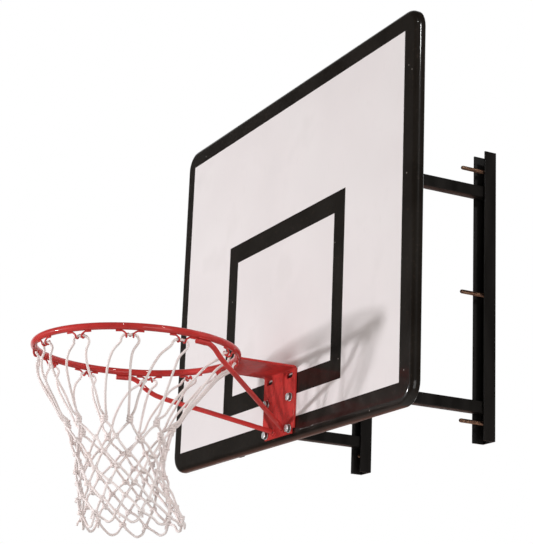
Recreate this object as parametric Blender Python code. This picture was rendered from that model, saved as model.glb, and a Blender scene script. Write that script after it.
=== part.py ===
"""Wall-mounted basketball hoop: a backboard on a steel wall frame, with a ring, its bracket and a cord net.

Metres, +Z up. The wall is the plane Y = 0 and the court lies towards -Y. The origin is on the wall,
midway between the two uprights at half their height.
"""

import math

import bmesh
import bpy
from mathutils import Matrix, Vector

# Fits between pieces
SEAT_GAP = 0.0003
BOLT_CLEARANCE = 0.0005
THREAD_CLEARANCE = 0.0003
CORD_CLEARANCE = 0.0009

# Backboard
BOARD_WIDTH = 1.200
BOARD_HEIGHT = 0.900
BOARD_THICKNESS = 0.024
BOARD_CORNER_RADIUS = 0.050
BOARD_FRONT_ROUND = 0.014
BOARD_BACK_ROUND = 0.002
BOARD_BORDER = 0.050
BOARD_FACE_FROM_WALL = 0.413
BOARD_BOTTOM_BELOW_ORIGIN = 0.362

# Painted field and aiming target on the front of the board
FIELD_THICKNESS = 0.0005
TARGET_WIDTH = 0.600
TARGET_HEIGHT = 0.450
TARGET_LINE = 0.050
TARGET_ABOVE_BOARD_BOTTOM = 0.104

# Ring
RING_INNER_DIAMETER = 0.450
RING_BAR_DIAMETER = 0.016
RING_TO_BOARD = 0.152
RING_CENTRE_ABOVE_BOARD_BOTTOM = 0.167
# The ring and its bracket are bolted a little to the right of the board's middle
HOOP_OFFSET = 0.015
RING_STEPS = 64
RING_SIDES = 12

# Ring bracket, a bent plate
BRACKET_WIDTH = 0.157
BRACKET_HEIGHT = 0.1595
BRACKET_THICKNESS = 0.005
BRACKET_INNER_BEND = 0.004
BRACKET_CORNER_RADIUS = 0.012
BRACKET_TOP_ABOVE_RING_CENTRE = 0.0035
BOLT_COLUMN_SPACING = 0.116
BOLT_ROW_SPACING = 0.075
BOLT_ROW_ABOVE_BRACKET_BOTTOM = 0.012
SLOT_SPACING = 0.102
SLOT_LENGTH = 0.029
SLOT_WIDTH = 0.0125
SLOT_BELOW_BRACKET_TOP = 0.0195

# Stays under the ring
STAY_DIAMETER = 0.012
STAY_WELD_START = 11.5
STAY_WELD_END = 20.5
STAY_FOOT_FROM_MIDDLE = 0.025
STAY_FOOT_ABOVE_BRACKET_BOTTOM = 0.016
STAY_SIDES = 10
# Where a stay swings down after its weld: degrees round the ring, outwards from the bar, below the weld
STAY_SWING = (
    (24.5, 0.001, 0.007),
    (29.0, 0.004, 0.023),
    (33.0, 0.007, 0.034),
    (36.5, 0.009, 0.041),
)

# Net clips, bent wire welded under the ring; drops are measured from the wire's tails
CLIP_WIRE_DIAMETER = 0.004
CLIP_TAIL_END = 0.031
CLIP_LEG_TOP = 0.0155
CLIP_HOOK_OFFSET = 0.0079
CLIP_HOOK_DROP = 0.0066
CLIP_CREST_OFFSET = 0.0054
CLIP_CREST_DROP = 0.0033
CLIP_MIDDLE_DROP = 0.0087
CLIP_BEND_RADIUS = 0.0024
CLIP_SIDES = 5
CLIPS_IN_FRONT = 7
CLIPS_AT_BACK = 5
CLIP_STEP_IN_FRONT = 29.2
CLIP_STEP_AT_BACK = 26.8
CLIPS_TURNED = 5.2

# Net
CORD_DIAMETER = 0.006
CORD_SIDES = 5
SHOULDER_SIDE = 0.021
SHOULDER_INWARD = 0.0125
SHOULDER_DROP = 0.030
# How far a cord has gone from its shoulder to its first knot: share of the depth, share of the turn
TOP_STRAND_BOW = ((0.12, 0.10), (0.27, 0.23), (0.45, 0.39), (0.65, 0.58))
TOP_KNOT_SLEEVE = 0.024
KNOT_HALF_LENGTH = 0.0075
KNOT_RADIUS = 0.006
KNOT_ROWS = 7
FIRST_KNOT_DEPTH = 0.187
LAST_KNOT_DEPTH = 0.384
HEM_DEPTH = 0.410
# Depth below the ring's centre, radius, and how far the net leans aside there
NET_PROFILE = (
    (0.031, 0.216, -0.008),
    (0.060, 0.204, -0.019),
    (0.080, 0.192, -0.024),
    (0.110, 0.171, -0.026),
    (0.133, 0.154, -0.027),
    (0.160, 0.137, -0.027),
    (0.190, 0.119, -0.027),
    (0.210, 0.108, -0.025),
    (0.260, 0.098, -0.022),
    (0.285, 0.098, -0.019),
    (0.310, 0.100, -0.014),
    (0.335, 0.105, -0.007),
    (0.375, 0.114, 0.010),
    (0.410, 0.114, 0.018),
)
NET_LEAN_DIRECTION = 63.0
KNOT_SWING = 2.5
KNOT_LIFT = 0.004

# Fasteners of the ring
RING_BOLT_DIAMETER = 0.010
RING_BOLT_FLATS = 0.017
RING_BOLT_HEAD = 0.0065
RING_BOLT_TAIL = 0.004
WASHER_DIAMETER = 0.021
WASHER_THICKNESS = 0.002
NUT_THICKNESS = 0.008
BACKING_PLATE_WIDTH = 0.160
BACKING_PLATE_HEIGHT = 0.115
BACKING_PLATE_THICKNESS = 0.004

# Wall frame
UPRIGHT_SPACING = 0.564
UPRIGHT_PAST_BOLT = 0.045
UPRIGHT_WIDTH = 0.050
UPRIGHT_DEPTH = 0.032
UPRIGHT_WALL = 0.004
ARM_SIZE = 0.028
ARM_WALL = 0.0025
ARM_CORNER = 0.003
UPPER_ARM_BELOW_BOLT = 0.0555
LOWER_ARM_ABOVE_BOLT = 0.0360
RAIL_SIZE = 0.028
RAIL_SHORT_OF_BOARD_EDGE = 0.010

# Board bolts and wall bolts
BOARD_BOLT_DIAMETER = 0.008
BOARD_BOLT_FLATS = 0.013
BOARD_BOLT_HEAD = 0.0055
BOARD_BOLT_FROM_EDGE = 0.030
BOARD_BOLT_IN_BOARD = 0.016
BOARD_HOLE_PAST_BOLT = 0.001
WALL_BOLT_DIAMETER = 0.010
RIGHT_WALL_BOLT_LENGTH = 0.084
LEFT_WALL_BOLT_LENGTH = 0.026
WALL_BOLT_SPACING = 0.310
WALL_BOLT_TIP_ROUND = 0.003

ROUND_SIDES = 12

# Worked out from the sizes above
BOARD_FACE_Y = -BOARD_FACE_FROM_WALL
PANEL_FACE_Y = BOARD_FACE_Y + FIELD_THICKNESS + SEAT_GAP
BOARD_BACK_Y = BOARD_FACE_Y + BOARD_THICKNESS
BOARD_BOTTOM_Z = -BOARD_BOTTOM_BELOW_ORIGIN
BOARD_MIDDLE_Z = BOARD_BOTTOM_Z + BOARD_HEIGHT / 2
RING_BAR_RADIUS = RING_BAR_DIAMETER / 2
RING_RADIUS = RING_INNER_DIAMETER / 2 + RING_BAR_RADIUS
RING_CENTRE = Vector(
    (
        HOOP_OFFSET,
        BOARD_FACE_Y - RING_TO_BOARD - RING_INNER_DIAMETER / 2,
        BOARD_BOTTOM_Z + RING_CENTRE_ABOVE_BOARD_BOTTOM,
    )
)
BRACKET_BACK_Y = BOARD_FACE_Y - SEAT_GAP
BRACKET_FACE_Y = BRACKET_BACK_Y - BRACKET_THICKNESS
BRACKET_TOP_Z = RING_CENTRE.z + BRACKET_TOP_ABOVE_RING_CENTRE
BRACKET_BOTTOM_Z = BRACKET_TOP_Z - BRACKET_HEIGHT
CLIP_WIRE_RADIUS = CLIP_WIRE_DIAMETER / 2
CORD_RADIUS = CORD_DIAMETER / 2
CLIP_HOOK_RADIUS = CLIP_WIRE_RADIUS + CORD_RADIUS + CORD_CLEARANCE
CLIP_TAIL_DROP = RING_BAR_RADIUS + SEAT_GAP + CLIP_WIRE_RADIUS
HOOK_CENTRE_DROP = CLIP_TAIL_DROP + CLIP_HOOK_DROP
UPRIGHT_X = UPRIGHT_SPACING / 2
UPPER_ARM_Z = WALL_BOLT_SPACING - UPPER_ARM_BELOW_BOLT
LOWER_ARM_Z = LOWER_ARM_ABOVE_BOLT - WALL_BOLT_SPACING
UPRIGHT_LENGTH = 2 * (WALL_BOLT_SPACING + UPRIGHT_PAST_BOLT)


def clear_scene():
    for old in list(bpy.data.objects):
        bpy.data.objects.remove(old, do_unlink=True)


def paint(name, colour, roughness, metallic):
    material = bpy.data.materials.new(name)
    material.use_nodes = True
    shader = material.node_tree.nodes["Principled BSDF"]
    shader.inputs["Base Color"].default_value = (*colour, 1.0)
    shader.inputs["Roughness"].default_value = roughness
    shader.inputs["Metallic"].default_value = metallic
    material.diffuse_color = (*colour, 1.0)
    return material


def loft(name, loops, joined_ends=False):
    """Mesh through loops of equal length, closed by end caps or by joining the last loop to the first."""
    mesh = bpy.data.meshes.new(name)
    shape = bmesh.new()
    rings = [[shape.verts.new(point) for point in loop] for loop in loops]
    count = len(rings[0])
    pairs = list(zip(rings, rings[1:]))
    if joined_ends:
        pairs.append((rings[-1], rings[0]))
    for low, high in pairs:
        for i in range(count):
            j = (i + 1) % count
            shape.faces.new((low[i], low[j], high[j], high[i]))
    if not joined_ends:
        shape.faces.new(list(reversed(rings[0])))
        shape.faces.new(rings[-1])
    bmesh.ops.recalc_face_normals(shape, faces=shape.faces)
    shape.to_mesh(mesh)
    shape.free()
    return mesh


def place(name, mesh, material, location=(0, 0, 0), rotation=(0, 0, 0), smooth=False):
    if smooth:
        mesh.shade_smooth()
        mesh.set_sharp_from_angle(angle=math.radians(35))
    if not mesh.materials:
        mesh.materials.append(material)
    thing = bpy.data.objects.new(name, mesh)
    bpy.context.scene.collection.objects.link(thing)
    thing.location = location
    thing.rotation_euler = rotation
    return thing


def circle(radius, height, steps=ROUND_SIDES, start=0.0):
    """Loop round the local Z axis."""
    turns = (start + 2 * math.pi * i / steps for i in range(steps))
    return [(radius * math.cos(turn), radius * math.sin(turn), height) for turn in turns]


def hexagon(flats, height, steps=ROUND_SIDES):
    """Loop on a hexagon round the local Z axis, with as many points as a circle's loop."""
    points = []
    for i in range(steps):
        turn = 2 * math.pi * i / steps
        from_flat = (turn + math.pi / 6) % (math.pi / 3) - math.pi / 6
        radius = flats / 2 / math.cos(from_flat)
        points.append((radius * math.cos(turn), radius * math.sin(turn), height))
    return points


def rounded_rectangle(width, height, radius, steps):
    """Outline in two coordinates, from the middle of the rectangle, with steps segments per corner."""
    points = []
    for across, up, start in ((1, 1, 0), (-1, 1, 90), (-1, -1, 180), (1, -1, 270)):
        for i in range(steps + 1):
            turn = math.radians(start + 90 * i / steps)
            x = across * (width / 2 - radius) + radius * math.cos(turn)
            z = up * (height / 2 - radius) + radius * math.sin(turn)
            points.append((x, z))
    return points


def tube_rings(points, radius, sides):
    """Loops round a path, each carried over from the last so that the tube does not twist."""
    points = [Vector(point) for point in points]
    last = len(points) - 1
    rings = []
    side = None
    for i, point in enumerate(points):
        ahead = (points[min(i + 1, last)] - point).normalized()
        behind = (point - points[max(i - 1, 0)]).normalized()
        along = (ahead + behind).normalized()
        if side is None:
            side = along.orthogonal()
        side = (side - along * side.dot(along)).normalized()
        up = along.cross(side)
        turns = (2 * math.pi * k / sides for k in range(sides))
        rings.append([point + radius * (math.cos(turn) * side + math.sin(turn) * up) for turn in turns])
    return rings


def tube(name, points, radius, sides):
    return loft(name, tube_rings(points, radius, sides))


def cutter(name, mesh, location=(0, 0, 0), rotation=(0, 0, 0)):
    thing = bpy.data.objects.new(name, mesh)
    bpy.context.scene.collection.objects.link(thing)
    thing.location = location
    thing.rotation_euler = rotation
    thing.hide_render = True
    thing.display_type = "WIRE"
    return thing


def cut(thing, *tools):
    for tool in tools:
        step = thing.modifiers.new(tool.name, "BOOLEAN")
        step.operation = "DIFFERENCE"
        step.solver = "EXACT"
        step.object = tool


def block(name, low, high):
    """Box between two corners."""
    outline = ((low[0], low[1]), (high[0], low[1]), (high[0], high[1]), (low[0], high[1]))
    return loft(name, [[(x, y, z) for x, y in outline] for z in (low[2], high[2])])


def drill(name, x, z, diameter, start_y, end_y):
    """Cutter for a round hole along Y."""
    radius = diameter / 2
    mesh = loft(name, [circle(radius, 0), circle(radius, end_y - start_y)])
    return cutter(name, mesh, (x, start_y, z), (-math.pi / 2, 0, 0))


def square_tube(name, size, wall, corner, length):
    """Hollow section along local Z with open ends."""
    outer = rounded_rectangle(size, size, corner, 3)
    bore = size - 2 * wall
    inner = rounded_rectangle(bore, bore, max(corner - wall, corner / 4), 3)
    loops = [[(x, y, z) for x, y in outline] for outline, z in ((outer, 0), (outer, length), (inner, length), (inner, 0))]
    return loft(name, loops, joined_ends=True)


def around_ring(angle, along, outward, drop):
    """Point given by its place along the ring's circle, its offset from the bar and its drop below it."""
    turn = math.radians(angle) + along / RING_RADIUS
    radius = RING_RADIUS + outward
    return RING_CENTRE + Vector((radius * math.cos(turn), radius * math.sin(turn), -drop))


clear_scene()
BLACK_MOULDING = paint("black_moulding", (0.020, 0.018, 0.016), 0.38, 0.0)
WHITE_PAINT = paint("white_paint", (0.78, 0.73, 0.74), 0.45, 0.0)
RED_PAINT = paint("red_paint", (0.58, 0.035, 0.040), 0.30, 0.0)
BLACK_STEEL = paint("black_steel", (0.016, 0.015, 0.014), 0.42, 0.0)
ZINC = paint("bright_zinc", (0.62, 0.63, 0.64), 0.28, 1.0)
BRONZE_ZINC = paint("bronze_zinc", (0.32, 0.20, 0.15), 0.38, 0.8)
WHITE_CORD = paint("white_cord", (0.82, 0.76, 0.74), 0.80, 0.0)

# Where the ring's bolts and the board's bolts pass through
bolt_low_z = BRACKET_BOTTOM_Z + BOLT_ROW_ABOVE_BRACKET_BOTTOM
ring_bolt_places = [
    (HOOP_OFFSET + side * BOLT_COLUMN_SPACING / 2, bolt_low_z + row * BOLT_ROW_SPACING)
    for row in (0, 1)
    for side in (-1, 1)
]
board_bolt_low_z = BOARD_BOTTOM_Z + BOARD_BOLT_FROM_EDGE
board_bolt_high_z = BOARD_BOTTOM_Z + BOARD_HEIGHT - BOARD_BOLT_FROM_EDGE
board_bolt_places = [(side * UPRIGHT_X, z) for z in (board_bolt_low_z, board_bolt_high_z) for side in (-1, 1)]
ring_hole = RING_BOLT_DIAMETER + 2 * BOLT_CLEARANCE
ring_drills = [
    drill(f"ring_bolt_hole_{i}", x, z, ring_hole, BRACKET_FACE_Y - 0.02, BOARD_BACK_Y + 0.02)
    for i, (x, z) in enumerate(ring_bolt_places, 1)
]
# The board's bolts come from behind, through the rails into blind holes
board_hole = BOARD_BOLT_DIAMETER + 2 * BOLT_CLEARANCE
board_bolt_tip_y = BOARD_BACK_Y - BOARD_BOLT_IN_BOARD
rail_back_y = BOARD_BACK_Y + SEAT_GAP + RAIL_SIZE
board_drills = [
    drill(f"board_bolt_hole_{i}", x, z, board_hole, board_bolt_tip_y - BOARD_HOLE_PAST_BOLT, rail_back_y + 0.01)
    for i, (x, z) in enumerate(board_bolt_places, 1)
]

# Backboard: a moulded panel whose front edge is rounded all round
def board_loop(inset, y):
    outline = rounded_rectangle(BOARD_WIDTH - 2 * inset, BOARD_HEIGHT - 2 * inset, BOARD_CORNER_RADIUS - inset, 8)
    return [(x, y, BOARD_MIDDLE_Z + z) for x, z in outline]


board_loops = []
for step in range(6):
    turn = math.radians(90 * step / 5)
    inset = BOARD_FRONT_ROUND * (1 - math.sin(turn))
    board_loops.append(board_loop(inset, PANEL_FACE_Y + BOARD_FRONT_ROUND * (1 - math.cos(turn))))
board_loops.append(board_loop(0, BOARD_BACK_Y - BOARD_BACK_ROUND))
board_loops.append(board_loop(BOARD_BACK_ROUND, BOARD_BACK_Y))
backboard = place("backboard", loft("backboard", board_loops), BLACK_MOULDING, smooth=True)
cut(backboard, *ring_drills, *board_drills)

# The white field leaves the moulding bare as a border and as the target's line
target_bottom_z = BOARD_BOTTOM_Z + TARGET_ABOVE_BOARD_BOTTOM
field_low = (-BOARD_WIDTH / 2 + BOARD_BORDER, BOARD_FACE_Y, BOARD_BOTTOM_Z + BOARD_BORDER)
field_high = (BOARD_WIDTH / 2 - BOARD_BORDER, BOARD_FACE_Y + FIELD_THICKNESS, BOARD_BOTTOM_Z + BOARD_HEIGHT - BOARD_BORDER)
white_field = place("white_field", block("white_field", field_low, field_high), WHITE_PAINT)
target_opening = cutter(
    "target_opening",
    block(
        "target_opening",
        (-TARGET_WIDTH / 2, BOARD_FACE_Y - 0.01, target_bottom_z),
        (TARGET_WIDTH / 2, BOARD_FACE_Y + 0.01, target_bottom_z + TARGET_HEIGHT),
    ),
)
cut(white_field, target_opening, *ring_drills)
target_low = (-TARGET_WIDTH / 2 + TARGET_LINE, BOARD_FACE_Y, target_bottom_z + TARGET_LINE)
target_high = (TARGET_WIDTH / 2 - TARGET_LINE, BOARD_FACE_Y + FIELD_THICKNESS, target_bottom_z + TARGET_HEIGHT - TARGET_LINE)
place("target_field", block("target_field", target_low, target_high), WHITE_PAINT)

# Ring
ring_loops = []
for step in range(RING_STEPS):
    turn = 2 * math.pi * step / RING_STEPS
    loop = []
    for side in range(RING_SIDES):
        roll = 2 * math.pi * side / RING_SIDES
        radius = RING_RADIUS + RING_BAR_RADIUS * math.cos(roll)
        loop.append((radius * math.cos(turn), radius * math.sin(turn), RING_BAR_RADIUS * math.sin(roll)))
    ring_loops.append(loop)
place("ring", loft("ring", ring_loops, joined_ends=True), RED_PAINT, RING_CENTRE, smooth=True)

# Ring bracket: one plate, flat on the board, bent forward at the top and cut to the ring's curve
def bend_points(radius, steps=5):
    """Arc round the bend's centre, from the back face's direction to the top face's."""
    centre_y = BRACKET_BACK_Y - BRACKET_THICKNESS - BRACKET_INNER_BEND
    centre_z = BRACKET_TOP_Z - BRACKET_THICKNESS - BRACKET_INNER_BEND
    turns = (math.radians(90 * i / steps) for i in range(steps + 1))
    return [(centre_y + radius * math.cos(turn), centre_z + radius * math.sin(turn)) for turn in turns]


flange_end_y = RING_CENTRE.y + RING_RADIUS / 2
bracket_left = HOOP_OFFSET - BRACKET_WIDTH / 2
bracket_right = HOOP_OFFSET + BRACKET_WIDTH / 2
bracket_profile = [(BRACKET_FACE_Y, BRACKET_BOTTOM_Z), (BRACKET_BACK_Y, BRACKET_BOTTOM_Z)]
bracket_profile += bend_points(BRACKET_THICKNESS + BRACKET_INNER_BEND)
bracket_profile += [(flange_end_y, BRACKET_TOP_Z), (flange_end_y, BRACKET_TOP_Z - BRACKET_THICKNESS)]
bracket_profile += reversed(bend_points(BRACKET_INNER_BEND))
bracket_mesh = loft(
    "ring_bracket", [[(x, y, z) for y, z in bracket_profile] for x in (bracket_left, bracket_right)]
)
plate = bmesh.new()
plate.from_mesh(bracket_mesh)
bottom_corners = [
    edge
    for edge in plate.edges
    if edge.calc_length() < 2 * BRACKET_THICKNESS and all(vert.co.z < BRACKET_BOTTOM_Z + 1e-6 for vert in edge.verts)
]
bmesh.ops.bevel(plate, geom=bottom_corners, offset=BRACKET_CORNER_RADIUS, segments=4, affect="EDGES")
plate.to_mesh(bracket_mesh)
plate.free()
ring_bracket = place("ring_bracket", bracket_mesh, RED_PAINT)
ring_edge_radius = RING_RADIUS + RING_BAR_RADIUS + SEAT_GAP
ring_edge = cutter(
    "ring_edge",
    loft("ring_edge", [circle(ring_edge_radius, height, RING_STEPS) for height in (-0.03, 0.03)]),
    RING_CENTRE,
)
slot_z = BRACKET_TOP_Z - SLOT_BELOW_BRACKET_TOP
slot_cutters = []
for side, x in (("left", HOOP_OFFSET - SLOT_SPACING / 2), ("right", HOOP_OFFSET + SLOT_SPACING / 2)):
    outline = rounded_rectangle(SLOT_LENGTH, SLOT_WIDTH, SLOT_WIDTH / 2 - 0.0001, 5)
    mesh = loft("slot_" + side, [[(px, y, pz) for px, pz in outline] for y in (-0.01, 0.01)])
    slot_cutters.append(cutter("slot_" + side, mesh, (x, BRACKET_FACE_Y, slot_z)))
cut(ring_bracket, ring_edge, *slot_cutters, *ring_drills)

# Stays: round bars that lie along the ring's underside and run down to the foot of the bracket
stay_radius = STAY_DIAMETER / 2
stay_drop = RING_BAR_RADIUS + SEAT_GAP + stay_radius
stay_foot_z = BRACKET_BOTTOM_Z + STAY_FOOT_ABOVE_BRACKET_BOTTOM
foot_face = cutter(
    "foot_face",
    block(
        "foot_face",
        (bracket_left, BRACKET_FACE_Y - SEAT_GAP, BRACKET_BOTTOM_Z - 0.1),
        (bracket_right, BRACKET_FACE_Y + 0.1, BRACKET_TOP_Z),
    ),
)
for side, name in ((1, "ring_stay_right"), (-1, "ring_stay_left")):
    weld_steps = 5
    path = []
    for i in range(weld_steps + 1):
        angle = STAY_WELD_START + (STAY_WELD_END - STAY_WELD_START) * i / weld_steps
        path.append(around_ring(angle, 0, 0, stay_drop))
    path += [around_ring(angle, 0, outward, stay_drop + drop) for angle, outward, drop in STAY_SWING]
    foot = Vector((HOOP_OFFSET + STAY_FOOT_FROM_MIDDLE, BRACKET_FACE_Y, stay_foot_z))
    path.append(foot + (foot - path[-1]).normalized() * 3 * stay_radius)
    path = [Vector((HOOP_OFFSET + side * (point.x - HOOP_OFFSET), point.y, point.z)) for point in path]
    stay = place(name, tube(name, path, stay_radius, STAY_SIDES), RED_PAINT, smooth=True)
    cut(stay, foot_face)


# Net clips: wire with its tails welded under the ring, two hooks bent towards the net and a V between them
def clip_path():
    """Half of the clip from tail to middle: place along the ring, offset outwards, drop below its centre."""
    points = [(CLIP_TAIL_END, 0, CLIP_TAIL_DROP)]
    points.append((CLIP_LEG_TOP + CLIP_BEND_RADIUS / 2, 0, CLIP_TAIL_DROP))
    points.append((CLIP_LEG_TOP - CLIP_BEND_RADIUS / 2, 0, CLIP_TAIL_DROP + CLIP_BEND_RADIUS / 2))
    for i in range(5):
        turn = math.pi * i / 4
        outward = CLIP_HOOK_RADIUS * (math.cos(turn) - 1)
        points.append((CLIP_HOOK_OFFSET, outward, HOOK_CENTRE_DROP + CLIP_HOOK_RADIUS * math.sin(turn)))
    crest_centre_drop = CLIP_TAIL_DROP + CLIP_CREST_DROP + CLIP_BEND_RADIUS
    for degrees in (45, 90, 135):
        turn = math.radians(degrees)
        along = CLIP_CREST_OFFSET + CLIP_BEND_RADIUS * math.cos(turn)
        points.append((along, outward, crest_centre_drop - CLIP_BEND_RADIUS * math.sin(turn)))
    middle_centre_drop = CLIP_TAIL_DROP + CLIP_MIDDLE_DROP - CLIP_BEND_RADIUS
    for degrees in (50, 0):
        turn = math.radians(degrees)
        drop = middle_centre_drop + CLIP_BEND_RADIUS * math.cos(turn)
        points.append((CLIP_BEND_RADIUS * math.sin(turn), outward, drop))
    return points


clip_angles = [270 + CLIPS_TURNED + CLIP_STEP_IN_FRONT * (i - (CLIPS_IN_FRONT - 1) / 2) for i in range(CLIPS_IN_FRONT)]
clip_angles += [450 + CLIPS_TURNED + CLIP_STEP_AT_BACK * (i - (CLIPS_AT_BACK - 1) / 2) for i in range(CLIPS_AT_BACK)]
for number, angle in enumerate(clip_angles, 1):
    half = clip_path()
    route = half + [(-along, outward, drop) for along, outward, drop in reversed(half[:-1])]
    path = [around_ring(angle, -along, outward, drop) for along, outward, drop in route]
    name = f"net_clip_{number:02d}"
    place(name, tube(name, path, CLIP_WIRE_RADIUS, CLIP_SIDES), RED_PAINT, smooth=True)


# Net: one piece of cord lattice, with twelve loops on the clips, rows of knots and loops at the hem
def net_section(depth):
    """Radius and centre of the net at a depth below the ring's centre."""
    for upper, lower in zip(NET_PROFILE, NET_PROFILE[1:]):
        if depth <= lower[0]:
            break
    share = (depth - upper[0]) / (lower[0] - upper[0])
    radius = upper[1] + share * (lower[1] - upper[1])
    lean = upper[2] + share * (lower[2] - upper[2])
    turn = math.radians(NET_LEAN_DIRECTION)
    return radius, RING_CENTRE + Vector((lean * math.cos(turn), lean * math.sin(turn), -depth))


def net_point(angle, depth):
    radius, centre = net_section(depth)
    turn = math.radians(angle)
    return centre + Vector((radius * math.cos(turn), radius * math.sin(turn), 0))


clip_count = len(clip_angles)
row_angles = []
angles = clip_angles
for row in range(KNOT_ROWS):
    turned = angles[1:] + [angles[0] + 360]
    angles = [(left + right) / 2 for left, right in zip(angles, turned)]
    row_angles.append(angles)


def knot_angle(row, index):
    """Knots keep their columns, but hang a little unevenly, as a slack net does."""
    turn, index = divmod(index, clip_count)
    return row_angles[row][index] + 360 * turn + KNOT_SWING * math.sin(2.3 * row + 1.9 * index)


def knot_centre(row, index):
    depth = FIRST_KNOT_DEPTH + (LAST_KNOT_DEPTH - FIRST_KNOT_DEPTH) * row / (KNOT_ROWS - 1)
    if 0 < row:
        depth += KNOT_LIFT * math.sin(1.1 * row + 2.7 * (index % clip_count))
    return net_point(knot_angle(row, index), depth)


class Lattice:
    """Tubes of cord that end at knots, each knot closed over the ends of its cords."""

    def __init__(self):
        self.shape = bmesh.new()
        self.knots = {}

    def strand(self, points, start_knot, end_knot):
        rings = [[self.shape.verts.new(point) for point in ring] for ring in tube_rings(points, CORD_RADIUS, CORD_SIDES)]
        for low, high in zip(rings, rings[1:]):
            for i in range(CORD_SIDES):
                j = (i + 1) % CORD_SIDES
                self.shape.faces.new((low[i], low[j], high[j], high[i]))
        self.knots.setdefault(start_knot, []).append(rings[0])
        self.knots.setdefault(end_knot, []).append(rings[-1])

    def close_knot(self, knot, centre, axis):
        rings = self.knots[knot]
        ends = [vert for ring in rings for vert in ring]
        ends += [self.shape.verts.new(centre + side * KNOT_RADIUS * axis) for side in (-1, 1)]
        hull = bmesh.new()
        for vert in ends:
            hull.verts.new(vert.co)
        hull.verts.index_update()
        bmesh.ops.convex_hull(hull, input=list(hull.verts))
        ring_of = {}
        for number, ring in enumerate(rings):
            for i in range(CORD_SIDES):
                ring_of[number * CORD_SIDES + i] = number
        for face in hull.faces:
            corners = [vert.index for vert in face.verts]
            owners = {ring_of.get(corner, -1 - corner) for corner in corners}
            if len(owners) > 1:
                self.shape.faces.new([ends[corner] for corner in corners])
        hull.free()

    def mesh(self, name):
        bmesh.ops.recalc_face_normals(self.shape, faces=self.shape.faces)
        mesh = bpy.data.meshes.new(name)
        self.shape.to_mesh(mesh)
        self.shape.free()
        return mesh


def from_knot(centre, towards, distance):
    return centre + (towards - centre).normalized() * distance


lattice = Lattice()
for index, angle in enumerate(clip_angles):
    # Straight through both hooks, then round and down to a shoulder on each side
    half = [
        (0, -CLIP_HOOK_RADIUS, HOOK_CENTRE_DROP),
        (CLIP_HOOK_OFFSET + 0.0035, -CLIP_HOOK_RADIUS, HOOK_CENTRE_DROP + 0.0003),
        (SHOULDER_SIDE - 0.0050, -CLIP_HOOK_RADIUS - 0.0012, HOOK_CENTRE_DROP + 0.0022),
        (SHOULDER_SIDE - 0.0015, -CLIP_HOOK_RADIUS - 0.0035, HOOK_CENTRE_DROP + 0.0065),
        (SHOULDER_SIDE, -SHOULDER_INWARD, SHOULDER_DROP),
    ]
    right = [around_ring(angle, *point) for point in half]
    left = [around_ring(angle, -along, outward, drop) for along, outward, drop in half]
    shoulder_turn = math.degrees(SHOULDER_SIDE / RING_RADIUS)
    right_end = (right, angle + shoulder_turn, knot_centre(0, index), knot_angle(0, index))
    left_end = (left, angle - shoulder_turn, knot_centre(0, index - 1), knot_angle(0, index - 1))
    for side, start_angle, knot, end_angle in (right_end, left_end):
        for down, round_share in TOP_STRAND_BOW:
            turned = start_angle + round_share * (end_angle - start_angle)
            side.append(net_point(turned, SHOULDER_DROP + down * (FIRST_KNOT_DEPTH - SHOULDER_DROP)))
        side.append(from_knot(knot, side[-1], TOP_KNOT_SLEEVE))
    lattice.strand(list(reversed(left)) + right[1:], (0, (index - 1) % clip_count), (0, index))

for row in range(KNOT_ROWS - 1):
    for index in range(clip_count):
        upper = knot_centre(row, index)
        for shift in (-1, 0):
            lower = knot_centre(row + 1, index + shift)
            ends = [from_knot(upper, lower, KNOT_HALF_LENGTH), from_knot(lower, upper, KNOT_HALF_LENGTH)]
            lattice.strand(ends, (row, index), (row + 1, (index + shift) % clip_count))

for index in range(clip_count):
    # A loop of the hem hangs from each pair of neighbouring knots
    first = knot_centre(KNOT_ROWS - 1, index)
    second = knot_centre(KNOT_ROWS - 1, index + 1)
    angle = (knot_angle(KNOT_ROWS - 1, index) + knot_angle(KNOT_ROWS - 1, index + 1)) / 2
    lowest = net_point(angle, HEM_DEPTH)
    spread = (second - first) * 0.22
    points = [lowest - spread + Vector((0, 0, 0.006)), lowest, lowest + spread + Vector((0, 0, 0.006))]
    points.insert(0, from_knot(first, points[0], KNOT_HALF_LENGTH))
    points.append(from_knot(second, points[-1], KNOT_HALF_LENGTH))
    lattice.strand(points, (KNOT_ROWS - 1, index), (KNOT_ROWS - 1, (index + 1) % clip_count))

for row in range(KNOT_ROWS):
    for index in range(clip_count):
        centre = knot_centre(row, index)
        turn = math.radians(row_angles[row][index])
        lattice.close_knot((row, index), centre, Vector((math.cos(turn), math.sin(turn), 0)))
place("net", lattice.mesh("net"), WHITE_CORD, smooth=True)


# Fasteners: each is turned round local Z, with the head or nut at the top
def bolt_mesh(name, diameter, flats, head, length):
    radius = diameter / 2
    chamfer = diameter / 12
    loops = [
        circle(radius - chamfer, -length),
        circle(radius, -length + chamfer),
        circle(radius, 0),
        hexagon(flats, 0),
        hexagon(flats, head - chamfer),
        circle(flats / 2 - chamfer / 2, head),
    ]
    return loft(name, loops)


def nut_mesh(name, diameter, flats, thickness):
    bore = diameter / 2 + THREAD_CLEARANCE
    chamfer = diameter / 12
    loops = [
        circle(bore, 0),
        circle(flats / 2 - chamfer / 2, 0),
        hexagon(flats, chamfer),
        hexagon(flats, thickness - chamfer),
        circle(flats / 2 - chamfer / 2, thickness),
        circle(bore, thickness),
    ]
    return loft(name, loops, joined_ends=True)


def washer_mesh(name, hole, diameter, thickness):
    bore = hole / 2 + THREAD_CLEARANCE
    rim = diameter / 2
    loops = [circle(bore, 0), circle(rim, 0), circle(rim, thickness), circle(bore, thickness)]
    return loft(name, loops, joined_ends=True)


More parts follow.
